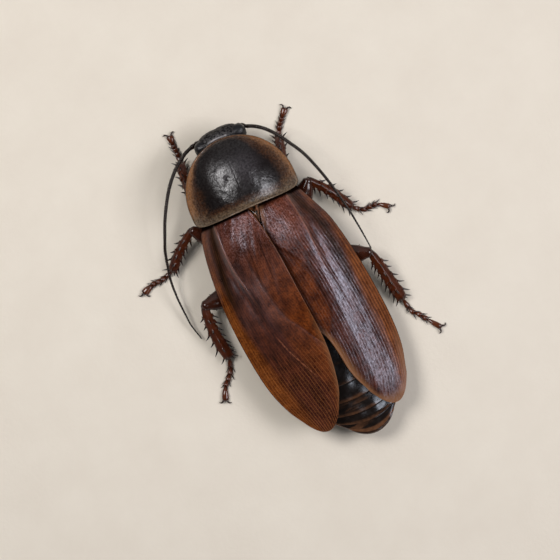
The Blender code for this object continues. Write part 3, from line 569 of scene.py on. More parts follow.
def body_finish():
    """Glossy black-brown plates whose hind edges are paler, with a fine leathery grain."""
    f = Finish("body_cuticle", Specular_IOR_Level=0.46, Specular_Tint=(0.86, 0.9, 1.0),
               Coat_Weight=0.06, Coat_Roughness=0.15)
    speck = f.noise(0.5, 4.0, 0.6)
    dark = f.mix(speck, (0.0030, 0.0020, 0.0016), (0.011, 0.0065, 0.0045))
    pale = f.mix(speck, (0.026, 0.011, 0.006), (0.160, 0.068, 0.030))
    across = f.noise(0, 3.0, 0.6, f.stretched((5.0, 0.95, 5.0)))
    streaks = f.times(f.mark("streaks"), f.range(across, 0.48, 0.68, 0.0, 0.55))
    colour = f.mix(f.mark("band"), dark, pale)
    colour = f.mix(streaks, colour, pale)
    grain = f.bump(f.noise(0.2, 2.0, 0.5), 0.0006)
    grain = f.bump(f.noise(1.2, 1.0, 0.5), 0.003, grain)
    return f.dress(colour, f.range(speck, 0.3, 0.7, 0.12, 0.20), grain)


def scutellum_finish():
    """Shiny orange-brown with black spots and pale edges."""
    f = Finish("scutellum_cuticle", Specular_IOR_Level=0.5)
    spots = f.range(f.noise(0.5, 3.0, 0.6), 0.45, 0.58)
    colour = f.mix(spots, (0.016, 0.007, 0.003), (0.17, 0.060, 0.022))
    colour = f.mix(f.mark("band"), colour, (0.30, 0.17, 0.11))
    grain = f.bump(f.noise(0.3, 3.0, 0.6), 0.012)
    return f.dress(colour, 0.2, grain)


def head_finish():
    """Black, closely punctured and glossy, a little browner towards the mouth, with a painted highlight along
    its rear edge by the shield.
    """
    f = Finish("head_cuticle")
    speck = f.noise(0.3, 4.0, 0.7)
    dark = f.mix(f.range(speck, 0.35, 0.68), (0.0025, 0.0024, 0.0028), (0.017, 0.013, 0.013))
    colour = f.mix(f.mark("band"), dark, (0.05, 0.02, 0.008))
    # Painted highlight: a bright grey line along the head's rear edge by the shield
    brow = f.times(f.mark("brow"), f.range(speck, 0.3, 0.6, 0.4, 1.0))
    colour = f.mix(brow, colour, (0.55, 0.52, 0.53))
    pits = f.range(f.cells(f.stretched((0.26, 0.26, 0.26))), 0.0, 0.62)
    grain = f.bump(f.noise(0.45, 4.0, 0.65), 0.016)
    grain = f.bump(pits, 0.030, grain)
    f.gloss(f.range(f.noise(0.3, 4.0, 0.75), 0.38, 0.62, 0.05, 0.60))
    return f.dress(colour, f.range(speck, 0.3, 0.7, 0.38, 0.5), grain)


def wing_colours(f, streaky, patchy, speck, comb, line, net):
    """Fields from dark to red-brown and orange, then dark cells, veins, margins, and last the painted shadows
    and fold shade.
    """
    deep = f.mix(streaky, (0.022, 0.0055, 0.0032), (0.086, 0.0195, 0.0070))
    warm = f.mix(streaky, (0.050, 0.0105, 0.0026), (0.130, 0.0310, 0.0070))
    colour = f.mix(f.times(f.mark("warm"), f.range(patchy, 0.25, 0.7, 0.6, 1.1)), deep, warm)
    for mark, low, high in (("plum", (0.012, 0.0040, 0.0034), (0.046, 0.0115, 0.0078)),
                            ("red", (0.060, 0.0130, 0.0070), (0.165, 0.0460, 0.0260)),
                            ("olive", (0.005, 0.0027, 0.0014), (0.021, 0.0086, 0.0032)),
                            ("strip", (0.084, 0.0200, 0.0035), (0.225, 0.0640, 0.0120))):
        colour = f.mix(f.mark(mark), colour, f.mix(streaky, low, high))
    between = f.times(f.times(f.mark("strip"), f.rest(comb)), f.times(f.mark("ridge"), 1.6))
    colour = f.mix(between, colour, (0.040, 0.0105, 0.0028))
    darker = f.mix(0.75, colour, (0.010, 0.0035, 0.0028))
    colour = f.mix(f.range(speck, 0.42, 0.66, 0.0, 0.8), colour, darker)
    colour = f.mix(f.times(net, f.times(f.mark("vein"), 0.3)), colour, (0.22, 0.075, 0.026))
    colour = f.mix(f.times(line, f.mark("vein")), colour, (0.30, 0.105, 0.032))
    colour = f.mix(f.mark("stem"), colour, (0.26, 0.090, 0.045))
    # rim: pale margins, and on the right wing also a painted highlight along the inner edge at the base
    colour = f.mix(f.mark("rim"), colour, f.mix(speck, (0.11, 0.042, 0.015), (0.26, 0.125, 0.058)))
    # dark: a real dark margin line, plus painted shadows and painted shade in folds
    return f.mix(f.mark("dark"), colour, (0.004, 0.0015, 0.001))


def wing_shine(f, speck, comb):
    """A sheen that the veins and a fine grain break up, and that dull fields lack."""
    bits = f.range(f.noise(0, 3.0, 0.7, f.on_wing(0.26, 0.55)), 0.36, 0.60)
    kept = f.plus(f.times(comb, 0.45), f.times(bits, 0.55))
    lined = f.times(f.mark("ridge"), f.rest(kept))
    spots = f.times(f.mark("grainy"), f.range(speck, 0.40, 0.60, 0.0, 0.85))
    shine = f.times(f.rest(f.mark("matte")), f.rest(f.mark("dark")))
    return f.times(f.times(f.times(shine, f.rest(lined)), f.rest(spots)), 1.2)


def wing_finish():
    """Thin leathery wings: red-brown with darker cells, orange edges and a fine net of veins."""
    f = Finish("wing_cuticle", Specular_Tint=(0.86, 0.86, 1.0))
    net = f.range(f.cells(f.on_wing(0.2, 0.34), "DISTANCE_TO_EDGE"), 0.0, 0.16, 1.0, 0.0)
    streak = f.noise(0, 4.0, 0.6, f.on_wing(0.35, 3.0))
    patchy = f.noise(1.6, 4.0, 0.6)
    speck = f.noise(0.27, 4.0, 0.75)
    streaky = f.range(f.plus(f.times(streak, 0.45), f.times(patchy, 0.55)), 0.36, 0.64)
    off = f.math("ABSOLUTE", f.math("SUBTRACT", f.math("FRACT", f.mark("place")), 0.5))
    line = f.range(f.times(off, f.mark("pitch")), 0.0, 0.05, 1.0, 0.0)
    line = f.times(line, f.range(streak, 0.3, 0.7, 0.35, 1.0))
    comb = f.range(f.math("COSINE", f.times(f.mark("place"), 2 * math.pi)), -1.0, 1.0, 1.0, 0.0)
    grains = f.range(f.cells(f.stretched((0.3, 0.3, 0.3))), 0.0, 0.6)
    grain = None
    for height, depth in ((net, 0.0008), (speck, 0.0035), (streak, 0.009),
                          (f.times(grains, f.mark("grainy")), 0.008),
                          (f.times(line, f.mark("ridge")), 0.012)):
        grain = f.bump(height, depth, grain)
    f.gloss(wing_shine(f, speck, comb))
    colour = wing_colours(f, streaky, patchy, speck, comb, line, net)
    return f.dress(colour, f.range(patchy, 0.3, 0.7, 0.27, 0.34), grain)


def leg_finish():
    """Dark red-brown glossy cuticle that turns near black on thorns, joints and claws."""
    f = Finish("leg_cuticle", Specular_IOR_Level=0.42, Coat_Weight=0.12, Coat_Roughness=0.06)
    patchy = f.noise(0.9, 3.0, 0.5)
    colour = f.mix(patchy, (0.012, 0.0027, 0.0012), (0.096, 0.0210, 0.0062))
    colour = f.mix(f.mark("glow"), colour, (0.16, 0.046, 0.016))
    colour = f.mix(f.mark("dark"), colour, (0.006, 0.0022, 0.0017))
    grain = f.bump(f.noise(0.12, 3.0, 0.6), 0.0015)
    grain = f.bump(f.noise(0.5, 2.0, 0.5), 0.005, grain)
    roughness = f.range(f.noise(0.25, 3.0, 0.6), 0.3, 0.7, 0.11, 0.21)
    return f.dress(colour, roughness, grain)


def antenna_finish():
    """Dark grey-brown segments with a soft gloss."""
    f = Finish("antenna_cuticle", Specular_IOR_Level=0.3)
    speck = f.noise(0.15, 3.0, 0.6)
    dark = f.mix(speck, (0.003, 0.0018, 0.0012), (0.009, 0.005, 0.0032))
    colour = f.mix(f.mark("glow"), dark, (0.026, 0.011, 0.0055))
    grain = f.bump(f.noise(0.05, 2.0, 0.6), 0.002)
    return f.dress(colour, f.range(speck, 0.3, 0.7, 0.22, 0.32), grain)


def eye_finish():
    """Black compound eyes with tiny domed facets."""
    f = Finish("eye_lens", Specular_IOR_Level=0.35)
    colour = f.mix(f.noise(0.4, 2.0), (0.002, 0.002, 0.0025), (0.008, 0.007, 0.009))
    facets = f.range(f.cells(f.stretched((0.07, 0.07, 0.07))), 0.0, 0.7, 1.0, 0.0)
    return f.dress(colour, f.range(facets, 0.0, 1.0, 0.36, 0.28), f.bump(facets, 0.006))


# The shield over the neck


def pronotum_height(x, y):
    """Its upper face, at x and y from its own centre: an arch that dips towards the head."""
    arch = PRONOTUM_ARCH * (np.abs(x) / PRONOTUM_HALF_WIDTH) ** 2.2
    front = PRONOTUM_DIP * (np.maximum(0, -y) / PRONOTUM_FRONT) ** 2.6
    back = 0.35 * (np.maximum(0, y) / PRONOTUM_BACK) ** 2
    return PRONOTUM_TOP - arch - front - back


def pronotum_reach(x, y):
    """How far out a place is, from 0 at the middle to 1 at the rim."""
    length = np.where(y < 0, PRONOTUM_FRONT, PRONOTUM_BACK)
    return np.minimum(1, np.hypot(x / PRONOTUM_HALF_WIDTH, y / length))


def turned(points, angle):
    c, s = math.cos(angle), math.sin(angle)
    x, y = points[..., 0], points[..., 1]
    return np.stack([c * x - s * y, s * x + c * y, points[..., 2]], -1)


def pronotum_under(x, y):
    """A roof for the neck: the shield's lower face or just below it, above a place on the floor."""
    flat = np.stack(np.broadcast_arrays(x, y, 0.0), -1) - PRONOTUM_CENTRE
    local = turned(flat, -PRONOTUM_TURN)
    x, y = local[..., 0], local[..., 1]
    return pronotum_height(x, y) - 0.6 - 0.5 * (1 - pronotum_reach(x, y) ** 2)


def pronotum_relief(x, y, edge):
    """What makes the shield's upper face uneven: pits, furrows, a raised rim."""
    line = -0.014 * bell(x, 0.09) * step(-4.6, -3.6, y) * step(0.2, -0.8, y)
    pits = 0.0
    for pit_x, pit_y, depth, size in SHIELD_PITS:
        pits = pits - depth * spot(x, y, pit_x, pit_y, size)
    curve = np.hypot(x, (y + 2.4) * 0.8) - 2.75
    furrow = -0.03 * bell(curve, 0.4) * step(0.8, 1.8, np.abs(x))
    wrinkles = 0.012 * waves(x, y, 2.8, 3) + 0.003 * waves(x, y, 0.8, 4)
    rim = -0.06 * bell(edge - 0.24, 0.1) + 0.03 * bell(edge - 0.08, 0.08)
    return line + pits + furrow + wrinkles * step(0.1, 0.8, edge) + rim


def make_pronotum(material):
    shares = np.concatenate([np.linspace(0.015, 0.9, 62), np.linspace(0.91, 0.992, 16), (0.998, 1.0)])
    c, s = circle(300)
    square = np.where(s < 0, 1.0, 0.34)
    rim_x = PRONOTUM_HALF_WIDTH * np.sign(c) * np.abs(c) ** square
    rim_y = np.where(s < 0, PRONOTUM_FRONT * s, PRONOTUM_BACK * np.abs(s) ** square)
    x, y = rim_x * shares[:, None], rim_y * shares[:, None]
    edge = np.hypot(rim_x, rim_y) * (1 - shares[:, None])
    fall = 0.25 * shares[:, None] ** 8
    top = pronotum_height(x, y) - fall + pronotum_relief(x, y, edge)
    thick = PRONOTUM_EDGE * step(-0.2, 0.35, edge) + PRONOTUM_CROWN * (1 - pronotum_reach(x, y) ** 2)
    keep = np.concatenate([np.arange(0, 62, 5), [66, 70, 74, 77, 78, 79]])
    upper = np.stack([x, y, top], -1)
    lower = np.stack([x, y, top - thick], -1)[keep]
    rings = np.concatenate([upper, lower[::-1]])
    rings = turned(rings, PRONOTUM_TURN) + PRONOTUM_CENTRE
    marks = shield_marks(x, y, edge, c, s)
    full = {name: np.concatenate([value, value[keep][::-1]]) for name, value in marks.items()}
    shape = Shape()
    add_rings(shape, rings, full)
    shape.piece("pronotum_shield", material, ["pronotum"])


def shield_marks(x, y, edge, c, s):
    """How the shield's colours lie: amber and olive margins, a brown band, a black disc with a painted grey
    sheen.
    """
    width = 0.2 + 0.95 * step(0.45, 0.95, c)
    right = step(-0.2, -0.8, c)
    margin = step(width * 1.5, width * 0.2, edge) * (1 - right)
    margin = margin + right * (0.55 * step(2.0, 0.1, edge) + 0.3 * step(0.8, 0.1, edge))
    margin = margin * (1 - 0.35 * step(0.55, 0.3, np.abs(c)) * (s < 0))
    rear_mm = PRONOTUM_BACK - y
    side_mm = PRONOTUM_HALF_WIDTH - np.abs(x)
    rear = step(2.6, 0.9, rear_mm)
    corner = step(3.0, 0.9, rear_mm) * step(3.6, 1.4, side_mm)
    margin = np.maximum(margin, 0.72 * step(1.6, 0.35, rear_mm))
    margin = np.maximum(margin, 0.6 * corner)
    reach = width * 1.6 + 0.5 + 2.3 * right + 1.3 * step(0.5, 0.9, c) * step(-3.5, -1.5, y)
    brown = np.maximum(step(reach, reach * 0.3, edge), 0.8 * step(2.3, 1.0, rear_mm))
    brown = np.maximum(brown, corner) * (0.55 + 0.45 * np.maximum(np.abs(c), step(-0.2, 0.1, s)))
    gloss = 0.5 + 0.4 * step(2.5, 0.5, edge)
    for gloss_x, gloss_y, size, more in SHIELD_GLOSS:
        gloss = gloss + more * spot(x, y, gloss_x, gloss_y, size)
    # Painted sheen: two soft grey patches on the disc
    grey = 0.55 * spot(x, y, -1.5, -3.0, 2.0) + 0.35 * spot(x, y, 1.3, -3.4, 1.5)
    pale = 0.5 * bell(edge - 0.17, 0.07) * step(0.0, 0.3, s)
    return {"margin": margin, "brown": brown, "rear": rear, "rim": bell(edge, 0.07), "pale": pale,
            "grey": grey, "gloss": np.clip(gloss, 0, 1.15)}


# The folded fore wings


def wing_height(x, y):
    """The upper face of the folded wings, an arch over the back that sinks to the rear."""
    crown = eased([(-11, 7.7), (-8, 8.35), (-3, 8.6), (4, 8.4), (10, 7.7), (16, 6.7), (21, 5.7)], y)
    drop = eased([(-11, 3.85), (-5, 3.85), (2, 3.8), (12, 3.6), (20, 2.5)], y)
    half_width = eased([(-11, 7.2), (-6, 8.7), (0, 9.3), (8, 9.7), (21, 9.0)], y)
    middle = eased([(-11, 0.45), (-3, 0.0)], y)
    curve = eased([(0, 2.3), (12, 1.85), (20, 1.7)], y)
    return crown - drop * (np.abs(x - middle) / half_width) ** curve


def wing_lean(x, y, reach=0.1):
    """The upward direction square to the wings, whose z is 1."""
    slope_x = (wing_height(x + reach, y) - wing_height(x - reach, y)) / (2 * reach)
    slope_y = (wing_height(x, y + reach) - wing_height(x, y - reach)) / (2 * reach)
    return np.stack([-slope_x, -slope_y, np.ones_like(slope_x)], -1)


def trunk_roof(x, y):
    """The height that the trunk may reach below both wings."""
    sink = WING_SINK * eased([(-4.5, 0), (-1.0, 1), (2, 1), (4.5, 0)], x)
    return wing_height(x, y) - sink - 0.8 * np.linalg.norm(wing_lean(x, y), axis=-1)


def fan_spread(t):
    """How much the left wing's veins have drawn apart from one another at share t."""
    return 1 + 2.0 * np.maximum(0, t - 0.35) ** 1.3


def radial_share(t, left):
    """Where the stout radial vein lies between the margins, at share t of the wing's length."""
    if left:
        return eased([(0, 0.28), (0.07, 0.293), (0.18, 0.31), (0.29, 0.355), (0.4, 0.42), (0.55, 0.49),
                      (0.69, 0.57), (0.8, 0.69), (1, 0.9)], t)
    return eased([(0, 0.33), (0.24, 0.38), (0.44, 0.41), (0.64, 0.49), (0.83, 0.56), (1, 0.6)], t)


def claval_share(t, left):
    """Where the fold lies that parts off the wing's inner field; it ends at the inner margin."""
    if left:
        return eased([(0, 0.55), (0.15, 0.57), (0.35, 0.60), (0.52, 0.70), (0.58, 0.80), (0.65, 0.90),
                      (0.71, 1.0)], t)
    return eased([(0, 0.85), (0.15, 0.93), (0.22, 0.88), (0.28, 0.74), (0.35, 0.62), (0.49, 0.59),
                  (0.58, 0.66), (0.66, 0.84), (0.74, 1.0)], t)


def wing_veins(t, share, width, left):
    """Number and spacing in millimetres of the fine veins; the radial vein; the claval fold."""
    radial, claval = radial_share(t, left), claval_share(t, left)
    stem = bell((share - radial) * width, 0.11) * step(0.5, 0.26, t)
    fold = bell((share - claval) * width, 0.13) * step(0.0, 0.1, t) * step(0.74, 0.68, t)
    spacing = 0.027 if left else 0.039
    spread = fan_spread(t) if left else 9.6 / width * eased([(0, 0.6), (0.25, 1.0)], t)
    place = share / spread / spacing + 0.12 * waves(share * 9, t * 20, 7, 11)
    return place, spacing * spread * width, stem, fold


def make_wing(name, costal, sutural, bow, sink, left, material, node):
    """One wing, a thin closed sheet between two margins that is thicker away from them."""
    outer, inner = flat_path(costal), flat_path(sutural)
    even = np.linspace(0, 1, WING_COLUMNS)
    share, t = np.meshgrid(even - 0.035 * np.sin(2 * math.pi * even), np.linspace(0, 1, WING_ROWS))
    a, b = outer.at(t[:, 0])[:, None], inner.at(t[:, 0])[:, None]
    flat = a + (b - a) * share[..., None]
    x, y = flat[..., 0], flat[..., 1] + bow * t * t * 4 * share * (1 - share)
    width = np.linalg.norm(b - a, axis=-1)
    length = outer.length
    place, pitch, stem, fold = wing_veins(t, share, width, left)
    costal_mm, inner_mm = share * width, (1 - share) * width
    tip_mm = (1 - t) * length + 0.25 * (1 - 4 * share * (1 - share))
    edge = np.minimum(np.minimum(costal_mm, inner_mm), tip_mm)
    normal = unit(wing_lean(x, y))
    sag = 0.025 * waves(costal_mm, t * length * 0.35, 3.4, 21 if left else 22)
    radial = radial_share(t, left)
    gutter = -0.14 * bell((radial - share) * width - 0.75, 0.5) * step(0.7, 0.3, t)
    inside = step(-0.35, 0.35, (share - claval_share(t, left)) * width) * step(0.7, 0.6, t)
    hump = (0.35 if left else 0.12) * np.exp(-((np.abs(x) - 3.2) / 2.2) ** 2 - ((y + 5.0) / 2.6) ** 2)
    drop = 0.03 * step(0.2, 0.4, t) if left else 0.14 * step(0.05, 0.2, t)
    relief = 0.06 * stem - 0.03 * fold * step(0.18, 0.38, t) + 0.04 * bell(inner_mm - 0.1, 0.1)
    relief = relief + sag * step(0.2, 1.5, edge) + gutter + hump - drop * inside * step(0.0, 1.0, inner_mm)
    thick = WING_EDGE + (WING_BODY - WING_EDGE) * step(0.0, 1.2, edge)
    tuck = 0.4 * step(-9.9, -10.9, y)
    face = np.stack([x, y, wing_height(x, y) - sink(x) - tuck], -1)
    top = face + normal * relief[..., None]
    under = face + normal * (np.minimum(relief, 0) - thick)[..., None]
    marks = wing_marks(left, t, share, x, y, costal_mm, inner_mm, edge, stem, fold)
    marks |= {"place": place, "pitch": pitch, "across": costal_mm, "length": t * length}
    both = {key: np.tile(value.ravel(), 2) for key, value in marks.items()}
    shape = Shape()
    shape.add(np.concatenate([top.reshape(-1, 3), under.reshape(-1, 3)]),
              sheet_faces(WING_ROWS, WING_COLUMNS), both)
    shape.piece(name, material, [node], sharp=80)


def left_fields(t, share, radial, inside, costal_mm, inner_mm, edge):
    """The left wing's colours: an orange strip, an olive base stripe, red base, plum middle."""
    strip_width = eased([(0, 0.7), (0.25, 0.9), (0.36, 1.0), (0.5, 1.45), (0.7, 2.0), (0.85, 2.3),
                         (1, 1.5)], t)
    strip = step(strip_width * 1.3, strip_width * 0.5, costal_mm)
    strip = strip * (0.6 + 0.4 * step(0.25, 0.45, t)) * (1 - 0.35 * step(0.8, 1.0, t))
    middle = eased([(0, 0.21), (0.14, 0.19), (0.25, 0.16), (0.45, 0.13)], t)
    olive = bell((share - middle) * WING_WIDTH, 0.75) * step(0.5, 0.34, t)
    warm = 0.55 * step(0.2, 0.4, t) * step(0.0, 0.12, share - radial) * step(0.95, 0.7, t)
    warm = warm + 0.5 * step(2.0, 0.3, inner_mm) * step(0.3, 0.6, t) + 0.3 * step(0.45, 0.6, share)
    red = 0.95 * step(0.22, 0.05, t) * step(0.3, 0.36, share)
    vein = 0.12 + 0.6 * step(0.58, 0.78, t) + 0.15 * step(0.85, 1.0, t) + 0.2 * strip
    ridge = 0.28 - 0.12 * step(0.2, 0.5, t)
    plum = 0.8 * bell((share - radial) * WING_WIDTH, 0.65) * step(0.26, 0.4, t) * step(1.0, 0.85, t)
    plum = plum + 0.55 * bell(t - 0.15, 0.07) * step(radial + 0.02, radial + 0.1, share)
    outer = step(0.12, 0.2, share) * step(0.02, -0.06, share - radial)
    plum = plum + 0.7 * outer * step(0.55, 0.65, t) + 0.35 * step(0.7, 0.85, t)
    rim = 0.5 * bell(edge, 0.1) * step(0.6, 0.95, t) + 0.5 * bell(inner_mm, 0.07)
    rim = rim + 0.42 * step(0.85, 0.1, inner_mm) * step(0.5, 0.72, t)
    matte = 0.65 * inside + 0.9 * strip + 0.95 * olive + 0.75 * step(0.45, 0.75, t)
    matte = matte + 0.2 * step(0.3, 0.45, t)
    grainy = 0.12 + step(0.33, 0.18, t) * step(radial, radial + 0.06, share)
    return {"strip": strip, "olive": olive, "warm": warm, "red": red, "vein": vein, "ridge": ridge,
            "plum": plum, "rim": rim, "matte": matte, "grainy": grainy}


def right_fields(t, share, radial, inside, costal_mm, inner_mm, edge):
    """The right wing's colours: an orange strip and inner field, a shining ribbed middle, and a painted
    highlight along the inner edge at the base.
    """
    strip_width = eased([(0, 0.5), (0.2, 0.7), (0.37, 1.1), (0.5, 1.7), (0.65, 2.1), (1, 2.0)], t)
    strip = step(strip_width * 1.25, strip_width * 0.6, costal_mm) * (0.35 + 0.6 * step(0.15, 0.45, t))
    olive = 0.9 * bell(costal_mm - strip_width - 0.75, 0.75) * step(0.75, 0.4, t)
    warm = 0.9 * inside * step(0.25, 0.35, t) + 0.5 * step(0.35, 0.1, t)
    warm = warm + 0.6 * step(0.0, 0.14, share - radial - 0.1) * step(0.2, 0.4, t) * step(0.7, 0.55, t)
    red = 0.65 * step(0.34, 0.1, t) * step(0.28, 0.4, share)
    vein = 0.14 + 0.45 * strip * step(0.2, 0.5, t)
    plum = 0.65 * step(0.3, 0.45, t) * (1 - inside) * (1 - strip)
    ridge = (0.5 + 0.4 * step(0.12, 0.3, t)) * (1 - 0.6 * strip)
    tip = step(0.72, 0.95, t)
    rim = 0.95 * step(1.2 + 0.4 * tip, 0.1, inner_mm) * step(0.55, 0.7, t)
    rim = np.maximum(rim, 0.85 * step(1.6, 0.2, edge) * tip) + 0.2 * bell(edge, 0.08)
    matte = np.maximum(0.7 * inside * step(0.2, 0.35, t), 0.9 * rim)
    matte = np.maximum(matte, 0.8 * strip + 0.6 * olive * step(0.4, 0.2, t))
    matte = np.maximum(matte, 0.55 * step(0.22, 0.1, t) * step(0.4, 0.5, share))
    matte = np.maximum(matte, 0.7 * step(0.87, 0.98, t))
    # Painted highlight: pale rim colour along the inner edge at the wing's base, kept glossy
    base_edge_highlight = step(0.9, 0.2, inner_mm) * step(0.3, 0.16, t)
    rim = rim + 0.55 * base_edge_highlight
    matte = matte * (1 - base_edge_highlight)
    grainy = 0.2 + 0.8 * step(0.34, 0.1, t) * step(radial - 0.02, radial + 0.08, share)
    grainy = grainy + 0.25 * step(0.55, 0.85, t)
    return {"strip": strip, "olive": olive, "warm": warm, "red": red, "vein": vein, "ridge": ridge,
            "plum": plum, "rim": rim, "matte": matte, "grainy": grainy}


def wing_marks(left, t, share, x, y, costal_mm, inner_mm, edge, stem, fold):
    """One wing's fields, then blotches, a dark margin line, painted shade in folds, painted shadows and the
    stout vein.
    """
    blotch = waves(x, y * 0.6, 4.5, 31 if left else 32)
    inside = step(-0.2, 0.4, (share - claval_share(t, left)) * 9) * step(0.72, 0.66, t)
    fields = left_fields if left else right_fields
    marks = fields(t, share, radial_share(t, left), inside, costal_mm, inner_mm, edge)
    # dark: painted shade in the claval fold, a painted shadow just behind the shield's rear edge, and a real
    # dark line along the costal margin
    dark = 0.25 * fold + step(0.5, 0.15, y + 10.0 + 0.035 * x) + 0.8 * bell(costal_mm, 0.07)
    stem = 0.4 * stem
    if left:
        # Painted shade along the folds at the left wing's base
        folds = sum(bell((share - eased(knots, t)) * WING_WIDTH, 0.1) for knots in BASE_FOLDS)
        dark = dark + 0.5 * folds * step(0.06, 0.14, t) * step(0.40, 0.3, t)
        broken = step(0.2, 0.5, 0.5 + 0.5 * waves(x * 2, y * 2, 2.0, 33))
        pale = bell((share - eased(PALE_VEIN, t)) * WING_WIDTH, 0.07)
        stem = stem + 0.8 * pale * broken * step(0.56, 0.6, t) * step(0.8, 0.76, t)
    else:
        # Painted shadow cast by the left wing's inner edge on the right wing beside it
        dark = dark + 0.6 * step(0.9, 0.2, gap_to_left(x, y))
    marks["olive"] = marks["olive"] * (1 - marks["strip"])
    marks["warm"] = marks["warm"] + 0.25 * blotch
    marks["plum"] = marks["plum"] + 0.2 * blotch
    marks |= {"dark": dark, "stem": stem}
    return {name: np.clip(value, 0, 1) + 0 * t for name, value in marks.items()}


def gap_to_left(x, y):
    """How far the right wing's places lie from the left wing's inner edge, to its right."""
    edge = flat_path(LEFT_SUTURAL).line
    return np.maximum(0, np.interp(y, edge[:, 1], edge[:, 0]) - x) + 9 * step(14, 17, y)


def make_wings(material):
    make_wing("tegmen_left", LEFT_COSTAL, LEFT_SUTURAL, LEFT_TIP_BOW, lambda x: 0 * x, True,
              material, "wing_left")
    make_wing("tegmen_right", RIGHT_COSTAL, RIGHT_SUTURAL, RIGHT_TIP_BOW,
              lambda x: WING_SINK * eased([(-4.5, 0), (-1.0, 1), (3, 1)], x), False,
              material, "wing_right")


# The trunk under the shield and the wings


def thorax_half_width(y):
    return eased([(-11.8, 4.2), (-10.5, 4.9), (-8.0, 6.1), (-4.0, 6.8), (-1.0, 6.4)], y)


def thorax_under(x, y):
    share = np.minimum(1, np.abs(x) / thorax_half_width(y))
    return THORAX_EDGE - THORAX_FALL * np.sqrt(1 - share**2)


def make_thorax(material):
    """One skin from the neck to inside the abdomen, with shallow grooves between its plates."""
    sides = 120
    c, s = circle(sides)
    wide_of, fill_of, fall_of = ([(k[0], k[i]) for k in NECK] for i in (1, 2, 3))
    rings, bands = [], []
    for y in np.linspace(*THORAX_ENDS, 130):
        join = step(-12.3, -11.4, y)
        front_x = eased(wide_of, y) * c
        roof = pronotum_under(front_x, y) - GAP - PROTHORAX_EDGE
        front_z = PROTHORAX_EDGE + np.where(s > 0, roof * eased(fill_of, y) * np.abs(s) ** 0.6,
                                            eased(fall_of, y) * s)
        rear_x = thorax_half_width(y) * c * (1 - 0.1 * step(-1.4, 0.2, y))
        rear_z = THORAX_EDGE + np.where(s > 0, (trunk_roof(rear_x, y) - THORAX_EDGE) * np.abs(s) ** 0.5,
                                        THORAX_FALL * s)
        groove = sum(bell(y - at, 0.16) for at in THORAX_GROOVES)
        shrink = 1 - 0.035 * groove
        x = (front_x * (1 - join) + rear_x * join) * shrink
        middle = PROTHORAX_EDGE * (1 - join) + THORAX_EDGE * join
        z = middle + ((front_z * (1 - join) + rear_z * join) - middle) * shrink
        rings.append(np.stack([x, np.full(sides, y), z], -1))
        bands.append(np.full(sides, 0.5 * min(1.0, groove) + 0.15 * step(-17.0, -18.0, y)))
    shape = Shape()
    add_rings(shape, rings, {"band": np.array(bands)})
    shape.piece("thorax_skin", material, ["prothorax", "thorax"])


def make_scutellum(material):
    """The small triangle in the notch between the wing roots, reddish with pale edges."""
    shape = Shape()
    rows, sides = 16, 48
    side = np.arange(sides) / sides * 3
    k = side.astype(int)
    corner, beyond = SCUTELLUM_CORNERS[k], SCUTELLUM_CORNERS[(k + 1) % 3]
    rim = corner + (beyond - corner) * (side - k)[:, None]
    middle = SCUTELLUM_CORNERS.mean(0)
    rings, bands = [], []
    for share in np.linspace(0.05, 1, rows):
        flat = middle + (rim - middle) * share
        z = wing_height(flat[:, 0], flat[:, 1]) - 0.45 - 0.3 * share**3 + 0.1 * bell(share - 0.6, 0.2)
        rings.append(np.column_stack([flat, z]))
        at_tip = step(-9.9, -9.2, flat[:, 1]) * step(0.2, 0.5, flat[:, 0])
        bands.append(step(0.7, 0.9, share) * (0.15 + 0.3 * at_tip))
    rings.append(np.column_stack([rim, np.full(sides, SCUTELLUM_FOOT)]))
    bands.append(np.zeros(sides))
    add_rings(shape, rings, {"band": np.array(bands)})
    shape.piece("scutellum", material, ["thorax"])


def abdomen_middle(y):
    return eased([(0, 0), (8, -0.4), (15, -1.2), (21, -1.8), (23, -1.8)], y)


def abdomen_half_width(y):
    return eased([(-1.0, 5.8), (2, 7.4), (6, 8.0), (11, 7.6), (15, 6.7), (18, 5.7), (20.1, 4.6),
                  (21.6, 3.2)], y)


def abdomen_edge(y):
    return eased([(-0.6, 4.9), (8, 4.1), (18, 3.3), (23, 3.2)], y)


def abdomen_bottom(y):
    return eased([(-0.6, 3.5), (3, 2.4), (8, 1.7), (16, 1.5), (21, 2.0), (22.8, 2.8)], y)


def plate_rise(y):
    """How far a plate stands proud at y, and how far its hind edge is from there."""
    starts = np.array((ABDOMEN_FRONT - 2.5, *SEGMENT_ENDS))
    ends = np.array((*SEGMENT_ENDS, ABDOMEN_BACK + 0.6))
    k = min(int(np.searchsorted(ends, y, side="left")), len(ends) - 1)
    share = (y - starts[k]) / (ends[k] - starts[k])
    return 0.14 * share**2, ends[k] - y


def abdomen_lines():
    """Places along the abdomen for its rings, closer at each plate's hind edge."""
    lines = []
    start = ABDOMEN_FRONT
    for end in (*SEGMENT_ENDS, ABDOMEN_BACK):
        lines += list(np.linspace(start + 0.02, end - 0.3, 14)) + list(np.linspace(end - 0.22, end, 6))
        start = end
    return lines


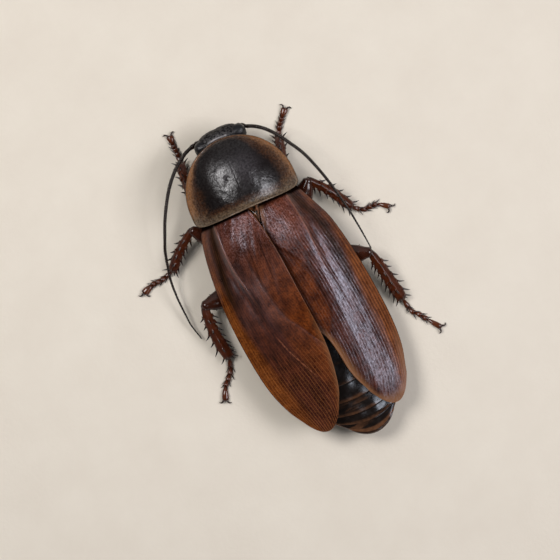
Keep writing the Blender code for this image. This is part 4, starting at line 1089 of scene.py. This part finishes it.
def make_abdomen(material):
    """Back and belly plates that overlap one another to the rear like roof tiles."""
    sides = 150
    c, s = circle(sides)
    rings, bands, streaks = [], [], []
    for y in abdomen_lines():
        proud, left_over = plate_rise(y)
        proud = proud * step(-0.01, 0.03, left_over) * (1 - 0.75 * step(12, 18, y))
        bend = eased([(-0.6, 0.0), (4, 0.5), (14, 0.9), (ABDOMEN_BACK, 1.5)], y)
        half_width = abdomen_half_width(y - bend) + proud
        back = y - bend * c * c
        x = abdomen_middle(back) + c * half_width
        edge = abdomen_edge(back)
        lift = (trunk_roof(0 * back, back) - 0.12 - edge + proud) * np.abs(s) ** 0.8
        sunk = (edge - abdomen_bottom(back) + proud) * s
        z = np.minimum(edge + np.where(s > 0, lift, sunk), trunk_roof(x, back))
        uneven = 0.035 * waves(x, back, 3.4, 41, 1)
        z = z + np.where(s > 0, uneven, 0) * step(0.0, 0.3, np.abs(s))
        rings.append(np.stack([x, back, z], -1))
        paler = step(0.6, 0.1, left_over) * step(0.0, 0.06, left_over)
        outer = step(0.86, 0.95, np.abs(c)) * (0.3 + 0.65 * step(14, 17, y)) * step(1.0, 0.985, np.abs(c))
        outer = outer + 0.3 * step(0.985, 1.0, np.abs(c))
        broken = 0.6 + 0.4 * waves(x, back, 2.2, 43)
        rear = step(0.75, 0.5, ABDOMEN_BACK - y) * step(0.06, 0.16, ABDOMEN_BACK - y)
        band = (0.65 * step(14, 18, y) + 0.2) * paler * broken + outer + 0.9 * rear
        bands.append(np.clip(band, 0, 1))
        streaks.append(np.full(sides, float(step(17.5, 19.5, y))))
    tip = np.array(rings[-1])
    middle = tip.mean(0)
    for u in (0.3, 0.55, 0.75, 0.9):
        shrunk = middle + (tip - middle) * np.array((1, 1, math.sqrt(1 - u**2)))
        shrunk[:, 1] = tip[:, 1] + 0.3 * u * (1 - c**4)
        rings.append(shrunk)
        bands.append(np.full(sides, 0.5 - 0.35 * u))
        streaks.append(np.full(sides, 0.6))
    shape = Shape()
    add_rings(shape, rings, {"band": np.array(bands), "streaks": np.array(streaks)})
    shape.piece("abdomen_plates", material, ["abdomen"], sharp=35)


def make_cercus(side, material):
    """A short jointed feeler under the last back plate."""
    flank = FLANK[side]
    x = abdomen_middle(ABDOMEN_BACK) + flank * 1.6
    line = Path([(x, 20.7, 1.35), (x + flank * 0.1, 21.6, 1.4), (x + flank * 0.3, 22.5, 1.6)])
    shares, girth = beads(np.linspace(0, 1, CERCUS_JOINTS + 1), CERCUS_BEAD,
                          lambda number, at: CERCUS_RADIUS * (1 - 0.75 * at))
    shape = Shape()
    add_rings(shape, tube_rings(line, shares, girth, girth * 0.85, 20), {"dark": 0.5})
    shape.piece(f"cercus_{side}_segments", material, [f"cercus_{side}"])


# The head


def head_points(x, along, out):
    """Points of the head: x across, along from its top towards the mouth, out of the face."""
    axis = np.array((0, math.sin(HEAD_LEAN), -math.cos(HEAD_LEAN)))
    face = np.array((0, -math.cos(HEAD_LEAN), -math.sin(HEAD_LEAN)))
    x, along, out = np.broadcast_arrays(x, along, out)
    return (HEAD_TOP + x[..., None] * np.array((1.0, 0, 0)) + along[..., None] * axis
            + out[..., None] * face)


def head_half(along):
    """Half the head's width and half its depth, along it."""
    return (eased([(t, w) for t, w, d in HEAD_PROFILE], along),
            eased([(t, d) for t, w, d in HEAD_PROFILE], along))


def face_out(x, along):
    """How far the face stands out at x across and along the head."""
    half_width, half_depth = head_half(along)
    c = (np.abs(x) / half_width) ** (1 / HEAD_SQUARENESS)
    return half_depth * np.sqrt(np.maximum(0, 1 - c * c)) ** HEAD_SQUARENESS


def make_head(material):
    """The capsule: pits, a furrow above the clypeus, a ring round each socket, and a painted highlight along
    its rear edge by the shield.
    """
    c, s = (np.sign(v) * np.abs(v) ** HEAD_SQUARENESS for v in circle(140))
    along = np.concatenate([np.linspace(0, 0.25, 8)[:-1], np.linspace(0.25, 4.6, 90)])[:, None]
    wide, deep = head_half(along)
    x, out = wide * c, deep * s
    front = np.maximum(0, s)
    relief = 0.035 * waves(x, along, 1.8, 51) + 0.006 * waves(x, along, 0.5, 52)
    for flank in (1, -1):
        off = np.hypot(x - flank * SOCKET[0], along - SOCKET[1])
        relief = relief + front * (0.12 * bell(off - 0.5, 0.12) - 0.2 * bell(off, 0.36))
    relief = relief - 0.08 * front * bell(np.abs(x) * 0.25 + along - 3.25, 0.1)
    relief = relief - 0.05 * bell(x, 0.06) * step(0.1, 0.4, along) * step(1.4, 0.9, along)
    grown = 1 + relief / np.maximum(0.6, np.hypot(x, out))
    rings = head_points(x * grown, along, out * grown)
    band = 0.6 * step(3.1, 3.5, along) * front + 0.3 * step(4.2, 4.5, along)
    for flank in (1, -1):
        band = np.maximum(band, 0.8 * spot(x, along, flank * 1.35, 1.35, 0.2) * front)
    flat = turned(rings - PRONOTUM_CENTRE, -PRONOTUM_TURN)
    reach = np.hypot(flat[..., 0] / PRONOTUM_HALF_WIDTH, flat[..., 1] / PRONOTUM_FRONT)
    ahead = (reach - 1) * PRONOTUM_FRONT
    # Painted highlight: a thin bright line just ahead of the shield's front edge
    brow = bell(ahead - 0.24, 0.09) * step(-1.2, -0.7, rings[..., 0]) * step(2.0, 1.3, rings[..., 0])
    shape = Shape()
    add_rings(shape, rings, {"band": np.clip(band, 0, 1), "brow": 0.8 * brow})
    shape.piece("head_capsule", material, ["head"])


def make_mouth(material):
    """Labrum in front, a pair of mandibles at the sides and the labium behind."""
    shape = Shape()
    c, s = circle(40)
    for x0, out0, wide, deep, start, end, band in MOUTHPARTS:
        along = np.linspace(start, end, 24)[:, None]
        share = (along - start) / (end - start)
        taper = np.sqrt(np.maximum(0.01, 1 - share**4)) * (1 - 0.25 * share)
        rings = head_points(x0 * (1 - 0.25 * share) + wide * taper * c, along, out0 + deep * taper * s)
        add_rings(shape, rings, {"band": band * (1 - 0.5 * share)})
    shape.piece("mouthparts_set", material, ["mouthparts"])


def make_eye(side, material):
    """A long compound eye that wraps round the side of the head."""
    flank = FLANK[side]
    along = np.linspace(*EYE_ENDS, 40)[:, None]
    half = eased(EYE_PROFILE, along)
    c, s = (np.sign(v) * np.abs(v) ** EYE_SQUARENESS for v in circle(56))
    x = flank * (EYE_MIDDLE + (EYE_REACH - EYE_MIDDLE) * (half / 1.08) ** 0.5 * c)
    shape = Shape()
    add_rings(shape, head_points(x, along, half * s - EYE_BACK), {})
    shape.piece(f"eye_{side}_facets", material, [f"eye_{side}"])


def make_palp(side, material):
    """A five-jointed feeler of the mouth."""
    flank = FLANK[side]
    line = Path([head_points(flank * x, along, out) for x, along, out in PALP_LINE])
    last = len(PALP_JOINTS) - 2
    shares, girth = beads(PALP_JOINTS, PALP_BEAD,
                          lambda number, at: PALP_RADIUS * (1.15 if number == last else 1))
    shares, girth = np.append(shares, 1.0), np.append(girth, 0.08)
    shape = Shape()
    add_rings(shape, tube_rings(line, shares, girth, girth, 20), {"glow": 0.25})
    shape.piece(f"palp_{side}_joints", material, [f"palp_{side}"])


def make_antenna(side, material):
    """A thick first segment, a short second one and a long thread of bead-like segments."""
    flank = FLANK[side]
    socket_x, along = flank * SOCKET[0], SOCKET[1]
    root = head_points(socket_x, along, face_out(socket_x, along) - 0.25)
    scape = Path([root, SCAPE_ENDS[side]])
    shape = Shape()
    shares = np.linspace(0, 1.0, 16)
    girth = eased([(0, 0.2), (0.15, 0.3), (0.6, 0.37), (0.9, 0.34), (1, 0.2)], shares)
    add_rings(shape, tube_rings(scape, shares, girth, girth, 24), {"glow": 0.1})
    line = Path([SCAPE_ENDS[side], *FLAGELLA[side]])
    joints = [0.0, PEDICEL_LENGTH]
    while joints[-1] < 0.985:
        joints.append(joints[-1] + SEGMENT_LENGTH + SEGMENT_GROWTH * joints[-1])
    joints[-1] = 1.0
    shares, girth = beads(joints, FLAGELLUM_BEAD, lambda number, at: (
        eased(FLAGELLUM_RADIUS, at) * (1.25 if number == 0 else 1.0)))
    glow = np.tile((0.7, 0.15, 0.15, 0.15), len(joints) - 1)[:, None]
    add_rings(shape, tube_rings(line, shares, girth, girth, 14), {"glow": glow}, end=line.at(1.004))
    nodes = [f"antenna_{side}_{part}" for part in ("base", 1, 2, 3)]
    shape.piece(f"antenna_{side}_thread", material, nodes)


# The legs


def coxa_start(leg):
    """A coxa lies close under the trunk."""
    x, y = leg["coxa"]
    inner = max(0.0, abs(x) - 1)
    if y < -12:
        under = PROTHORAX_EDGE - 1.5 * math.sqrt(1 - min(1.0, inner / 3.2) ** 2)
    else:
        under = float(thorax_under(inner, y))
    return np.array((x, y, under - GAP - 0.75 * leg["scale"]))


def keeled(turn, power=1.55):
    """A limb's section: an oval drawn out to blunt keels above, below and at the sides."""
    return (np.abs(np.cos(turn)) ** power + np.abs(np.sin(turn)) ** power) ** (-1 / power)


def add_limb(shape, path, profile, scale, rows, sides, section, dark_ends=(0.0, 0.0), dark=0.0):
    """A limb along a path whose profile is (share, half width, half height), darker at its ends."""
    shares = np.linspace(profile[0][0], profile[-1][0], rows)
    wide = eased([(t, w) for t, w, h in profile], shares) * scale
    high = eased([(t, h) for t, w, h in profile], shares) * scale
    rings = tube_rings(path, shares, wide, high, sides, section)
    dark = dark + dark_ends[0] * step(0.12, 0.0, shares) + dark_ends[1] * step(0.9, 1.0, shares)
    add_rings(shape, rings, {"dark": dark[:, None]})


def make_leg(name, leg, material):
    """The hip segment and the thigh, then the shin and the foot."""
    scale = leg["scale"]
    base = coxa_start(leg)
    hip, knee, ankle = (np.array(leg[part], float) for part in ("trochanter", "knee", "ankle"))

    coxa = Shape()
    add_limb(coxa, Path([base, hip]), COXA_PROFILE, scale, 40, 40, keeled, (0.3, 0.6))
    coxa.piece(f"{name}_coxa_shell", material, [f"{name}_coxa"])

    femur = Shape()
    line = Path([hip, knee])
    add_limb(femur, line, FEMUR_PROFILE, scale, 56, 44, lambda turn: keeled(turn, 1.85), (0.3, 0.1), 0.5)
    side = unit(np.cross(UP, line.along(0.5)))
    for flank in (1, -1):
        for k in range(3):
            root = line.at(0.45 + 0.16 * k) + side * flank * 0.75 * scale - UP * 0.35
            lean = side * flank * 0.5 + line.along(0.5) * 0.5 - UP * 0.35
            add_thorn(femur, root, root + lean * 0.9, 0.1)
    femur.piece(f"{name}_femur_shell", material, [f"{name}_femur"])

    make_tibia(name, leg, knee, ankle, material)
    make_foot(name, leg, ankle, material)


def make_tibia(name, leg, knee, ankle, material):
    """A flattened, grooved shin with two rows of long thorns, a third on top and end spurs."""
    w = leg["width"]
    across = unit(np.cross(UP, ankle - knee))
    bow = across * np.sign(across[0] * knee[0]) * leg["bow"]
    line = Path([knee, (knee + ankle) / 2 + bow, ankle])
    profile = ((-0.03, 0.34, 0.3), (0.03, 0.46, 0.42), (0.1, 0.58 * w / 0.78, 0.44),
               (0.18, 0.80 * w, 0.46), (0.5, 0.90 * w, 0.48), (0.88, 0.97 * w, 0.48),
               (0.97, 0.85 * w, 0.42), (1.02, 0.5 * w, 0.25))
    draw = random.Random(name)
    shape = Shape()

    def grooved(turn):
        return keeled(turn, 1.3) - 0.06 * bell(np.abs(np.cos(turn)) - 0.5, 0.2)

    add_limb(shape, line, profile, 1.0, 60, 48, grooved, (0.7, 0.5))
    along = line.along(0.5)
    side = unit(np.cross(UP, along))
    outward = 1 if side[0] * knee[0] > 0 else -1
    rise = np.cross(along, side)
    long = line.length / 8
    for flank, number, length in ((outward, round(line.length * 0.62), 0.62),
                                  (-outward, round(line.length * 0.85), 0.85)):
        for k in range(number):
            t = 0.16 + 0.74 * (k + 0.35 * (flank > 0)) / number + draw.uniform(-0.01, 0.01)
            size = (length + 0.6 * t) * draw.uniform(0.8, 1.15) * long
            angle = math.radians((58 if flank == outward else 50) - 18 * t + draw.uniform(-5, 5))
            root = line.at(t) + side * flank * w * 0.66 + rise * draw.uniform(-0.15, 0.15)
            lean = side * flank * math.sin(angle) + along * math.cos(angle) + rise * draw.uniform(0, 0.2)
            add_thorn(shape, root, root + unit(lean) * (size + 0.25), 0.15, 0.07, along, flare=2.3)
    for k in range(4):
        root = line.at(0.24 + 0.18 * k) + rise * 0.4 + side * draw.uniform(-0.12, 0.12)
        lean = rise * 0.7 + along * 0.75 + side * draw.uniform(-0.25, 0.25)
        add_thorn(shape, root, root + unit(lean) * draw.uniform(0.6, 0.85), 0.12, 0.08, along)
    for flank, length, spread in ((1, 1.1, 0.85), (-1, 1.15, 0.85), (0.6, 0.8, 0.35), (-0.6, 0.8, 0.35)):
        root = line.at(0.95) + side * flank * w * 0.6
        lean = side * np.sign(flank) * spread + along * 0.75 + rise * 0.12
        add_thorn(shape, root, root + unit(lean) * length, 0.13, 0.06, along)
    shape.piece(f"{name}_tibia_shell", material, [f"{name}_tibia"])


def make_foot(name, leg, ankle, material):
    """Five tarsal segments, all but the last ending in two sharp points, and two claws."""
    line = flat_path([(ankle[0], ankle[1]), *leg["foot"]])
    draw = random.Random(name + "foot")
    shape = Shape()
    start = 0.0
    for number, (end, length) in enumerate(FOOT_SEGMENTS):
        last = number == len(FOOT_SEGMENTS) - 1
        girth = TOE_GIRTH * leg["toe"] if last else PAD_GIRTH
        t = start + (end - start) * SEGMENT_SHARES
        centre_z = FOOT_HEIGHT * np.minimum(1, girth / 0.34) * 0.95
        rings = tube_rings(line, t, girth, centre_z, 20)
        lift = centre_z
        if number == 0:
            lift = lift + (ankle[2] - FOOT_HEIGHT) * step(0.62, 0.0, t / 0.22)
        rings = rings + lift[:, None, None] * UP
        glow = (0.3 if last else 0.12) * bell(SEGMENT_SHARES - 0.6, 0.25)[:, None]
        dark = 0.35 * step(0.8, 1.0, SEGMENT_SHARES)[:, None] + 0.05
        add_rings(shape, rings, {"glow": glow, "dark": dark})
        along = line.along(end - 0.04)
        side = unit(np.cross(UP, along))
        for flank in (1, -1):
            if length:
                root = line.at(end - 0.04) + side * flank * 0.14 + UP * 0.3
                lean = along * 0.85 + side * flank * draw.uniform(0.36, 0.55) - UP * 0.08
                add_thorn(shape, root, root + unit(lean) * length * draw.uniform(0.9, 1.1), 0.1,
                          0.06, along)
        start = end
    shape.piece(f"{name}_tarsus_joints", material, [f"{name}_tarsus"])

    claws = Shape()
    along = turned(line.along(1.0), leg["claw_turn"])
    shares = np.linspace(0, 0.97, 16)
    girth = eased([(0, 0.15), (0.4, 0.12), (0.8, 0.06), (1, 0.015)], shares)
    for flank in (1, -1):
        side = unit(np.cross(UP, along)) * flank
        root = line.at(0.965) + side * 0.19 + UP * 0.3
        hook = [root]
        for ahead, aside, down in CLAW_HOOK:
            hook.append(root + (along * ahead + side * aside) * CLAW_LENGTH - UP * down)
        hook = Path(hook)
        add_rings(claws, tube_rings(hook, shares, girth, girth, 12),
                  {"dark": 0.6 + 0.4 * shares[:, None]}, end=hook.at(1.0))
    claws.piece(f"{name}_claws", material, [f"{name}_tarsus"])


# Floor, lights and camera


def make_floor():
    f = Finish("pale_floor", Specular_IOR_Level=0.25)
    tone = f.noise(9.0, 4.0, 0.6)
    colour = f.mix(tone, (0.60, 0.54, 0.455), (0.69, 0.64, 0.55))
    f.dress(colour, f.range(tone, 0.3, 0.7, 0.7, 0.85), f.bump(f.noise(0.5, 3.0, 0.6), 0.03))
    mesh = bpy.data.meshes.new("floor")
    half = 1.5
    mesh.from_pydata([(-half, -half, 0), (half, -half, 0), (half, half, 0), (-half, half, 0)], [],
                     [(0, 1, 2, 3)])
    mesh.materials.append(f.material)
    floor = bpy.data.objects.new("floor", mesh)
    bpy.context.scene.collection.objects.link(floor)


def make_light(name, right, up, distance, size, power, colour=(1, 1, 1)):
    """A soft square light, set by its lean from straight above towards the picture's edges."""
    toward = unit(IMAGE_RIGHT * right + IMAGE_UP * up + UP)
    data = bpy.data.lights.new(name, "AREA")
    data.shape = "SQUARE"
    data.size = size
    data.energy = power
    data.color = colour
    light = bpy.data.objects.new(name, data)
    light.location = Vector(toward * distance)
    light.rotation_mode = "QUATERNION"
    light.rotation_quaternion = Vector(-toward).to_track_quat("-Z", "Y")
    bpy.context.scene.collection.objects.link(light)


def make_lights():
    make_light("key", -0.56, 0.23, 0.26, 0.105, 0.46, (1, 0.98, 0.98))
    make_light("side", 0.84, 0.12, 0.28, 0.14, 0.54, (0.96, 0.95, 1.0))
    make_light("rear", 0.40, -0.35, 0.28, 0.035, 0.04, (0.93, 0.96, 1.0))
    make_light("front", -0.1, 1.1, 0.3, 0.3, 0.11)
    world = bpy.data.worlds.new("studio")
    world.use_nodes = True
    nodes, links = world.node_tree.nodes, world.node_tree.links
    shade = nodes["Background"]
    shade.inputs["Color"].default_value = (0.97, 0.97, 1.0, 1)
    place = nodes.new("ShaderNodeTexCoord")
    parts = nodes.new("ShaderNodeSeparateXYZ")
    fade = nodes.new("ShaderNodeMapRange")
    fade.interpolation_type = "SMOOTHSTEP"
    for socket, value in (("From Min", 0.0), ("From Max", 0.35), ("To Min", 0.45), ("To Max", 0.04)):
        fade.inputs[socket].default_value = value
    links.new(place.outputs["Generated"], parts.inputs[0])
    links.new(parts.outputs["Z"], fade.inputs["Value"])
    links.new(fade.outputs["Result"], shade.inputs["Strength"])
    bpy.context.scene.world = world
    bpy.context.scene.view_settings.view_transform = "Standard"


def make_camera():
    data = bpy.data.cameras.new("camera")
    data.lens = CAMERA_LENS
    data.sensor_width = CAMERA_SENSOR
    data.clip_start = 0.01
    data.clip_end = 10
    camera = bpy.data.objects.new("camera", data)
    rise = CAMERA_VIEW / CAMERA_SENSOR * CAMERA_LENS
    turn = Matrix((IMAGE_RIGHT, IMAGE_UP, UP)).transposed()
    place = (CAMERA_CENTRE + UP * rise + SHIFT) * MM
    camera.matrix_world = Matrix.Translation(Vector(place)) @ turn.to_4x4()
    bpy.context.scene.collection.objects.link(camera)
    bpy.context.scene.camera = camera


def main():
    make_camera()
    finishes = {"leg": leg_finish(), "antenna": antenna_finish(), "eye": eye_finish(),
                "body": body_finish(), "head": head_finish()}
    make_pronotum(shield_finish())
    make_wings(wing_finish())
    make_thorax(finishes["body"])
    make_scutellum(scutellum_finish())
    make_abdomen(finishes["body"])
    make_head(finishes["head"])
    make_mouth(finishes["head"])
    for side in ("left", "right"):
        make_eye(side, finishes["eye"])
        make_palp(side, finishes["leg"])
        make_cercus(side, finishes["leg"])
        make_antenna(side, finishes["antenna"])
    for name, leg in LEGS.items():
        make_leg(name, leg, finishes["leg"])
    make_floor()
    make_lights()


main()
